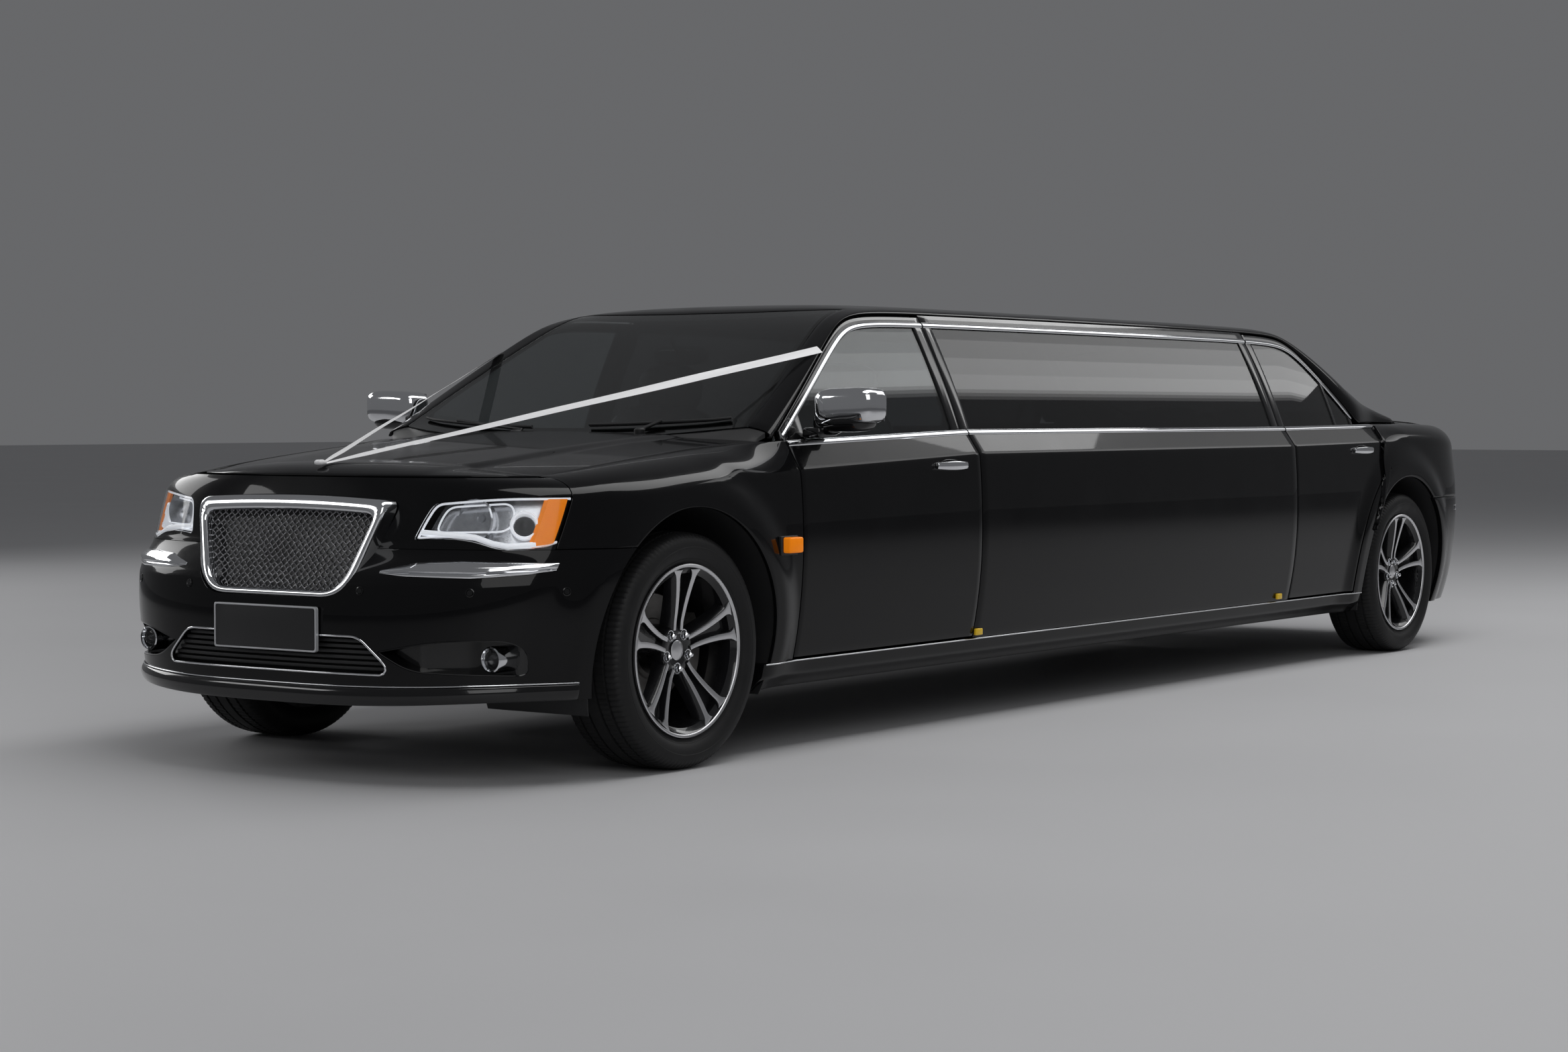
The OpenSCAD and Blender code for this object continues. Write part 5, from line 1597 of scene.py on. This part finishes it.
def make_tyre():
    """A tyre about Y with four grooves, slits on the shoulders and notches in the blocks."""
    w = TYRE_HALF_W
    side = [(241.6, 60), (247.6, 89.5), (266.8, 99.5), (277, 105), (288, 113), (300, w - 2.5), (311, w - 0.5),
            (322, w), (333, w - 2.5), (342, w - 6), (350, w - 12), (356, w - 18), (360, w - 27)]
    tread = []
    for g in reversed(GROOVES):
        top = 363.4 if abs(g) > 40 else TYRE_R
        tread += [(top, g + 5), (356.5, g + 3.6), (356.5, g - 3.6), (top, g - 5)]
    profile = side + tread + [(r, -y) for r, y in reversed(side)]
    rings = []
    for i in range(360):
        a = math.radians(i)
        rings.append([])
        for r, y in profile:
            slit = i % 3 == 0 and 70 < abs(y) < 114 and r > 340
            notch = i % 3 == 1 and 28 < abs(y) < 62
            rr = r - (4.0 if slit else 3.0 if notch else 0)
            rings[i].append((rr * math.cos(a), y, rr * math.sin(a)))
    return loft("tyre_master", rings)


tyre_master = make_tyre()
bands = [turned("tyre_band", [(r, y), (r + 1.6, y + 1.2), (r + 3.2, y), (r + 1.6, y - 2)], 96)
         for r, y in ((281, 108.8), (316, 121.8))]
tyre_master = join("tyre_master", [tyre_master] + bands)
for end, xw in (("front", XF), ("rear", XR)):
    for side, s in (("left", 1), ("right", -1)):
        name = end + "_" + side
        for master, mat, tag, slot in ((wheel_parts, None, "wheel", "alloy"),
                                       (tyre_master, TYRE, "tyre", "tyre")):
            o = master.copy()
            o.data = master.data.copy()
            o.name = o.data.name = "%s_%s_made" % (tag, name)
            bpy.context.collection.objects.link(o)
            if s < 0:
                o.data.transform(Matrix.Diagonal((1, -1, 1, 1)))
                o.data.flip_normals()
            o.data.transform(Matrix.Translation(Vector((xw, s * HALF_TRACK, TYRE_R)) * MM))
            dress(o, "wheel_" + name, mat, slot, ("%s_%s" % (tag, name),), 38)
for o in (wheel_parts, tyre_master):
    bpy.data.objects.remove(o)


# Rear end
REAR_LAMP_IN, REAR_LAMP_LOW, REAR_LAMP_TOP = 655, 704, 1018
TIP_Y, TIP_Z = 520, 285  # the exhaust tips
TIP = [(37, -110), (44, -110), (45, 36), (42, 40), (38, 36), (36, 0)]


def tail_shell(name, nq, nz, z0, z1, edge, d0, d1):
    """A shell across the whole tail, its ends at edge(z)."""
    def at(u, v, d):
        z = mix(z0, z1, v)
        return tail_pt((2 * u - 1) * tail_q(edge(z), z, d), z, d)

    return shell(name, nq, nz, at, d0, d1)


def cut_tip_holes(o, r):
    """Cuts the two holes for the exhaust tips."""
    for s in (-1, 1):
        cut(o, turned("tip_hole", [(0, -400), (r, -400), (r, 400), (0, 400)], 48, "X",
                      (XR - 1050, s * TIP_Y, TIP_Z), False))


def bumper_end(z):
    return XR - arch_dx(z) - 2


rear_cover = tail_shell("rear_bumper_cover", 150, 40, 207, 698, bumper_end, 0, 20)
cut_tip_holes(rear_cover, 47)
dress(bevel(rear_cover, 2), "body", PAINT, "paint", ("rear_bumper",), 30)
low_panel = tail_shell("rear_low_panel", 80, 8, 214, 262, lambda z: XR - 980, -5, 4)
cut_tip_holes(low_panel, 50)
dress(bevel(low_panel, 1.5), "body", PLASTIC, "black_plastic")
bright = tail_shell("rear_bumper_bright_strip", 110, 6, 632, 656, lambda z: XR - 700, -4, 6)
dress(bevel(bright, 2), "body", CHROME, "chrome")
tip_x = tail_pt(tail_angle(TIP_Y, TIP_Z), TIP_Z)[0] + 24
tips = []
for s in (-1, 1):
    tip = turned("tip", TIP, 48, "X")
    tip.data.transform(Matrix.Diagonal((-1, 1, 1, 1)))
    tip.data.flip_normals()
    tip.data.transform(Matrix.Translation(Vector((tip_x, s * TIP_Y, TIP_Z)) * MM))
    tips.append(tip)
dress(join("exhaust_tips", tips), "body", CHROME, "chrome")


def rear_lamp(name, z0, z1, y0, back, d0, d1):
    """A shell round the tail's left corner, from y0 to the X of its front edge."""
    def at(u, v, d):
        z = mix(z0, z1, v)
        return tail_pt(mix(tail_angle(y0, z), tail_q(back, z, d), u), z, d)

    return shell(name, 30, 12, at, d0, d1)


lamp = rear_lamp("tail_lamp_lenses", REAR_LAMP_LOW, REAR_LAMP_TOP, REAR_LAMP_IN + 3, TAIL_EDGE - 3, 1, 10)
dress(both_sides(bevel(lamp, 2)), "body", RED, "red_lens", ("tail_lamps",))
seat = rear_lamp("tail_lamp_housings", REAR_LAMP_LOW - 2, REAR_LAMP_TOP + 1, REAR_LAMP_IN + 2, TAIL_EDGE - 2,
                 14, 50)
dress(both_sides(seat), "body", POCKET, "black_plastic")
clear_part = rear_lamp("tail_lamp_clear_parts", 800, 838, REAR_LAMP_IN + 20, TAIL_EDGE - 60, -1.5, 4)
dress(both_sides(bevel(clear_part, 1.5)), "body", PALE, "reflector")


def rear_plate_at(u, v, stand):
    z = REAR_PLATE_Z + 112 * (v - 0.5)
    return (tail_pt(0, z)[0] - stand, mix(-260, 260, u), z)


rear_plate = bevel(shell("rear_blank_plate", 8, 4, rear_plate_at, 4, -2), 1)
dress(rear_plate, "trunk_lid", PLATE, "black_plastic")
edge_line = [(REAR_LAMP_IN + 2, z) for z in (REAR_LAMP_LOW, 800, 900, REAR_LAMP_TOP)]
lamp_rim = rod("tail_lamp_bright_edges", [tail_pt(tail_angle(y, z), z, -1) for y, z in edge_line], 4)
dress(both_sides(lamp_rim), "body", CHROME, "chrome")


# Inside
def pad(name, centre, half, turn=0.0, channels=0, across="y", power=4.0):
    """A stuffed cushion: a squared sphere with crowned faces and stitched channels."""
    o = ball(name, 72, 48)
    axis = {"x": 0, "y": 1}[across]
    for v in o.data.vertices:
        p = squared(v.co, power)
        swell_up = 1 + 0.10 * (1 - p.x ** 2) * (1 - p.y ** 2)
        if channels:
            f = ((p[axis] + 1) / 2 * channels) % 1.0
            swell_up -= 0.10 * math.exp(-(min(f, 1 - f) / 0.10) ** 2) * (1 - abs(p[1 - axis]) ** 6)
        v.co = Vector((p.x * half[0], p.y * half[1], p.z * half[2] * swell_up)) * MM
    o.data.transform(Matrix.Rotation(math.radians(turn), 4, "Y"))
    o.data.transform(Matrix.Translation(Vector(centre) * MM))
    return o


def cushion(piece, stands_for=()):
    """Finishes a padded leather piece."""
    dress(piece, "body", LEATHER, "leather", stands_for, 60)


FLOOR_Z = 255.3
SEAT_UP, BACK_UP, HEAD_UP = FLOOR_Z + 160, FLOOR_Z + 545, FLOOR_Z + 925


def seat_pair(start, i, x0, y, half, channels, stands_for):
    """A seat's base and its back, leaning, behind the base's rear edge at x0."""
    cushion(pad("%s_base_%d" % (start, i), (x0 + 270, y, SEAT_UP), (250, half[0], 92), -4, channels),
            stands_for if i == 0 else ())
    cushion(pad("%s_back_%d" % (start, i), (x0 - 15, y, BACK_UP), (330, half[1], 82), 72, channels))


for i, y in enumerate((390, -390)):
    x0 = XF - 1480
    seat_pair("front_seat", i, x0, y, (256, 250), 5, ("front_seats",))
    cushion(pad("front_head_rest_%d" % i, (x0 - 132, y, HEAD_UP), (90, 140, 46), 80, 0, power=3))
for i, y in enumerate((415, 0, -415)):
    seat_pair("rear_bench", i, XR + 620, y, (207, 205), 4, ("lounge_seats",))
bench_from, bench_len = X_REAR_DOOR + 300, 1480
for i in range(3):
    xm = bench_from + bench_len * (i + 0.5) / 3
    long_half = bench_len / 6 - 3
    cushion(pad("side_bench_base_%d" % i, (xm, -350, FLOOR_Z + 255), (long_half, 208, 74), 0, 4, "x"))
    back = pad("side_bench_back_%d" % i, (0, 0, 0), (long_half, 195, 78), 0, 4, "x")
    lean = Matrix.Rotation(math.radians(-76), 4, "X")
    back.data.transform(Matrix.Translation(Vector((xm, -668, FLOOR_Z + 510)) * MM) @ lean)
    cushion(back)
plinth = block("side_bench_plinth", (bench_from + bench_len / 2, -352, FLOOR_Z + 92), (bench_len, 400, 180),
               10)
dress(plinth, "body", LEATHER, "leather")

DASH_LINE = [(-497, 566), (-497, 956), (-560, 974), (-640, 982), (-725, 974), (-800, 956), (-850, 926),
             (-876, 898), (-862, 830), (-838, 760), (-800, 694), (-760, 644)]
DASH_HALF = 694


def dash_at(u, k):
    """Corner k of the dashboard's section, which bows forward and drops at its ends."""
    x, z = DASH_LINE[k]
    side = abs(2 * u - 1)
    bow = 26 * side ** 3 if k > 3 else 0
    drop = 8 if 1 - side ** 6 < 0.1 else 0
    return (XF + x + bow, (2 * u - 1) * DASH_HALF, z - drop)


n_dash, n_across = len(DASH_LINE), 40
verts = [dash_at(j / n_across, k) for j in range(n_across + 1) for k in range(n_dash)]
faces = [tuple(range(n_dash)), tuple(n_across * n_dash + k for k in range(n_dash - 1, -1, -1))]
for j in range(n_across):
    for k in range(n_dash):
        a, b = j * n_dash + k, j * n_dash + (k + 1) % n_dash
        faces.append((a, b, b + n_dash, a + n_dash))
dash = bevel(from_faces("dashboard_moulding", verts, faces), 8, 3, 50)
dress(dash, "body", DASH, "dash", ("dashboard",), 50)
vents = [block("vent", (XF - 866, y, 868), (14, 120, 52), 6, 3, Matrix.Rotation(math.radians(-14), 4, "Y"))
         for y in (-620, -90, 90, 620)]
dress(join("dashboard_vents", vents), "body", GLOSS, "black_plastic")
screen_dark = block("dashboard_screen", (XF - 858, 0, 790), (14, 240, 84), 5, 3,
                    Matrix.Rotation(math.radians(-18), 4, "Y"))
dress(screen_dark, "body", GLOSS, "black_plastic")
WHEEL_AT = Vector((XF - 860, -370, 800)) * MM
WHEEL_TURN = Matrix.Translation(WHEEL_AT) @ Matrix.Rotation(math.radians(-62), 4, "Y")
bpy.ops.object.select_all(action="DESELECT")
bpy.ops.mesh.primitive_torus_add(major_radius=0.175, minor_radius=0.0145, major_segments=72,
                                 minor_segments=16)
grip = bpy.context.object
grip.name = "wheel_grip"
for v in grip.data.vertices:
    a = math.atan2(v.co.y, v.co.x)
    v.co *= 1 + 0.008 * math.sin(3 * a) ** 8
grip.data.transform(Matrix.Translation((0, 0, 0.06)))
boss = egg("wheel_boss", (0, 0, 50), (62, 66, 26), 3.0)
arms = [block("wheel_arm", (0, y, 52), (34, 130, 12), 5, 3) for y in (105, -105)]
arms.append(block("wheel_arm", (-105, 0, 52), (130, 30, 12), 5, 3))
COLUMN = [(0, 34), (30, 34), (34, 26), (36, -120), (0, -120)]
column = turned("wheel_column", COLUMN, 32, "Z", (0, 0, 0), False)
helm = join("steering_wheel", [grip, boss, column] + arms)
helm.data.transform(WHEEL_TURN)
dress(helm, "body", DASH, "dash")
glass_x, _, glass_z = top_pt(0.80, 0, 30)
inner_mirror = egg("interior_mirror", (glass_x - 62, 0, glass_z - 48), (14, 122, 34), 3.4)
stem_pts = [(glass_x + dx, 0, glass_z + dz) for dx, dz in ((-4, 8), (-34, -22), (-58, -46))]
stem = rod("mirror_stem", stem_pts, 8)
dress(join("interior_mirror", [inner_mirror, stem]), "body", GLOSS, "black_plastic")

# Wedding ribbons, drawn taut from the hood's tip to the windscreen pillars
RIBBON_W = 38.0
RIBBON_ROW, RIBBON_G = 0.58, 82  # where the ribbons end on the pillars
tip_z = hood_pt(0.93, 0)[2]
knot = egg("ribbon_knot", (XF + 646, 0, tip_z + 8), (15, 20, 8.5), 2.6)
for v in knot.data.vertices:
    v.co.z += 0.0012 * math.sin(v.co.y * 420) * (v.co.z / MM > tip_z + 8)
dress(knot, "hood", SATIN, "ribbon")


def make_ribbon(name, s):
    """A satin band that twists from flat at the hood's tip to lie on the pillar."""
    start = Vector((XF + 640, s * 3, tip_z + 4))
    end = Vector(top_pt(RIBBON_ROW, s * RIBBON_G, -2.5))
    lower, upper = (Vector(top_pt(row, s * RIBBON_G)) for row in (0.53, 0.63))
    run = (end - start).normalized()
    flat_side = run.cross(Vector((0, 0, 1))).normalized() * s
    pillar_side = (lower - upper).normalized()
    pillar_side = (pillar_side - run * pillar_side.dot(run)).normalized()

    def place(u, v):
        c = start.lerp(end, u)
        side = flat_side.lerp(pillar_side, 0.34 + 0.66 * ease(u * 1.1)).normalized()
        width = RIBBON_W * min(1.0, 0.3 + 9 * u)
        fold = side.cross(run) * (1.6 * math.sin(9 * v) * math.exp(-14 * u) + 0.8 * math.sin(5 * v + 19 * u))
        return c + side * width * (v - 0.5) + fold

    o = sheet(name, 140, 10, place, lambda p: Vector((0.3, 0, 1)))
    o.data.materials.append(SATIN)
    smooth(o, 60)
    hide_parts("ribbons")
    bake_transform(o)


make_ribbon("ribbon_left", 1)
make_ribbon("ribbon_right", -1)

# Better finishes on the solids that stay
for node, mat in (("chassis", PLASTIC), ("engine", STEEL), ("front_arms", STEEL), ("rear_axle", STEEL),
                  ("exhaust", STEEL), ("fuel_tank", PLASTIC), ("knuckle_left", IRON),
                  ("knuckle_right", IRON)):
    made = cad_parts[node].data.materials
    for k in range(len(made)):
        made[k] = mat

# Floor, light and camera
bpy.ops.object.select_all(action="DESELECT")
bpy.ops.mesh.primitive_plane_add(size=160)
floor = bpy.context.object
floor.name = "floor"
floor.data.materials.append(material("pale_floor", (0.52, 0.52, 0.53), 0.6, vary=0.02, vary_scale=0.6,
                                     rough_vary=0.05))

world = bpy.data.worlds.new("studio")
world.use_nodes = True
backdrop = world.node_tree.nodes["Background"]
backdrop.inputs["Color"].default_value = (0.80, 0.81, 0.84, 1)
backdrop.inputs["Strength"].default_value = 0.17
bpy.context.scene.world = world


def softbox(name, at, size, watts, toward=None):
    """A rectangular lamp that faces a point, or straight down with its length along X."""
    data = bpy.data.lights.new(name, "AREA")
    data.shape = "RECTANGLE"
    data.size, data.size_y = size
    data.energy = watts
    o = bpy.data.objects.new(name, data)
    o.location = at
    if toward:
        o.rotation_mode = "QUATERNION"
        o.rotation_quaternion = (Vector(toward) - Vector(at)).to_track_quat("-Z", "Y")
    bpy.context.scene.collection.objects.link(o)


softbox("overhead", (-2.5, 2.0, 6.5), (16.0, 3.0), 440)
# the side windows mirror a long bank of strips, brightest along its far edge
WIDE, THIN, STRIP_WATTS = 0.56, 0.14, 74
STRIPS = [(WIDE, share) for share in (0.35, 0.5, 0.7, 0.88, 1.0)]
STRIPS += [(THIN, share) for share in (0.7, 0.35, 0.15)]
strip_y = 3.0
for wide, share in STRIPS:
    softbox("window_strip", (-12.5, strip_y + wide / 2, 6.6), (12.0, wide), STRIP_WATTS * wide * share)
    strip_y += wide
softbox("front_left", (8.5, 6.5, 4.8), (5.5, 5.5), 150, (2.5, 0.0, 0.6))
softbox("right_side", (1.0, -11.0, 5.0), (9.0, 3.0), 260, (1.0, 0.0, 0.8))
softbox("front_right", (8.6, -5.8, 3.8), (2.8, 1.1), 36, (3.6, 0.0, 0.8))

cam_data = bpy.data.cameras.new("camera")
cam_data.lens, cam_data.sensor_width, cam_data.sensor_fit = 65.93, 36.0, "HORIZONTAL"
cam_data.clip_end = 400
cam = bpy.data.objects.new("camera", cam_data)
bpy.context.scene.collection.objects.link(cam)
YAW, PITCH = math.radians(-144.88), math.radians(-2.18)
CAMERA_AT = (9.823, 6.181, 1.078)
look = Vector((math.cos(YAW) * math.cos(PITCH), math.sin(YAW) * math.cos(PITCH), math.sin(PITCH)))
cam.location = CAMERA_AT
cam.rotation_mode = "QUATERNION"
cam.rotation_quaternion = look.to_track_quat("-Z", "Y")
bpy.context.scene.camera = cam
bpy.context.scene.view_settings.view_transform = "Standard"
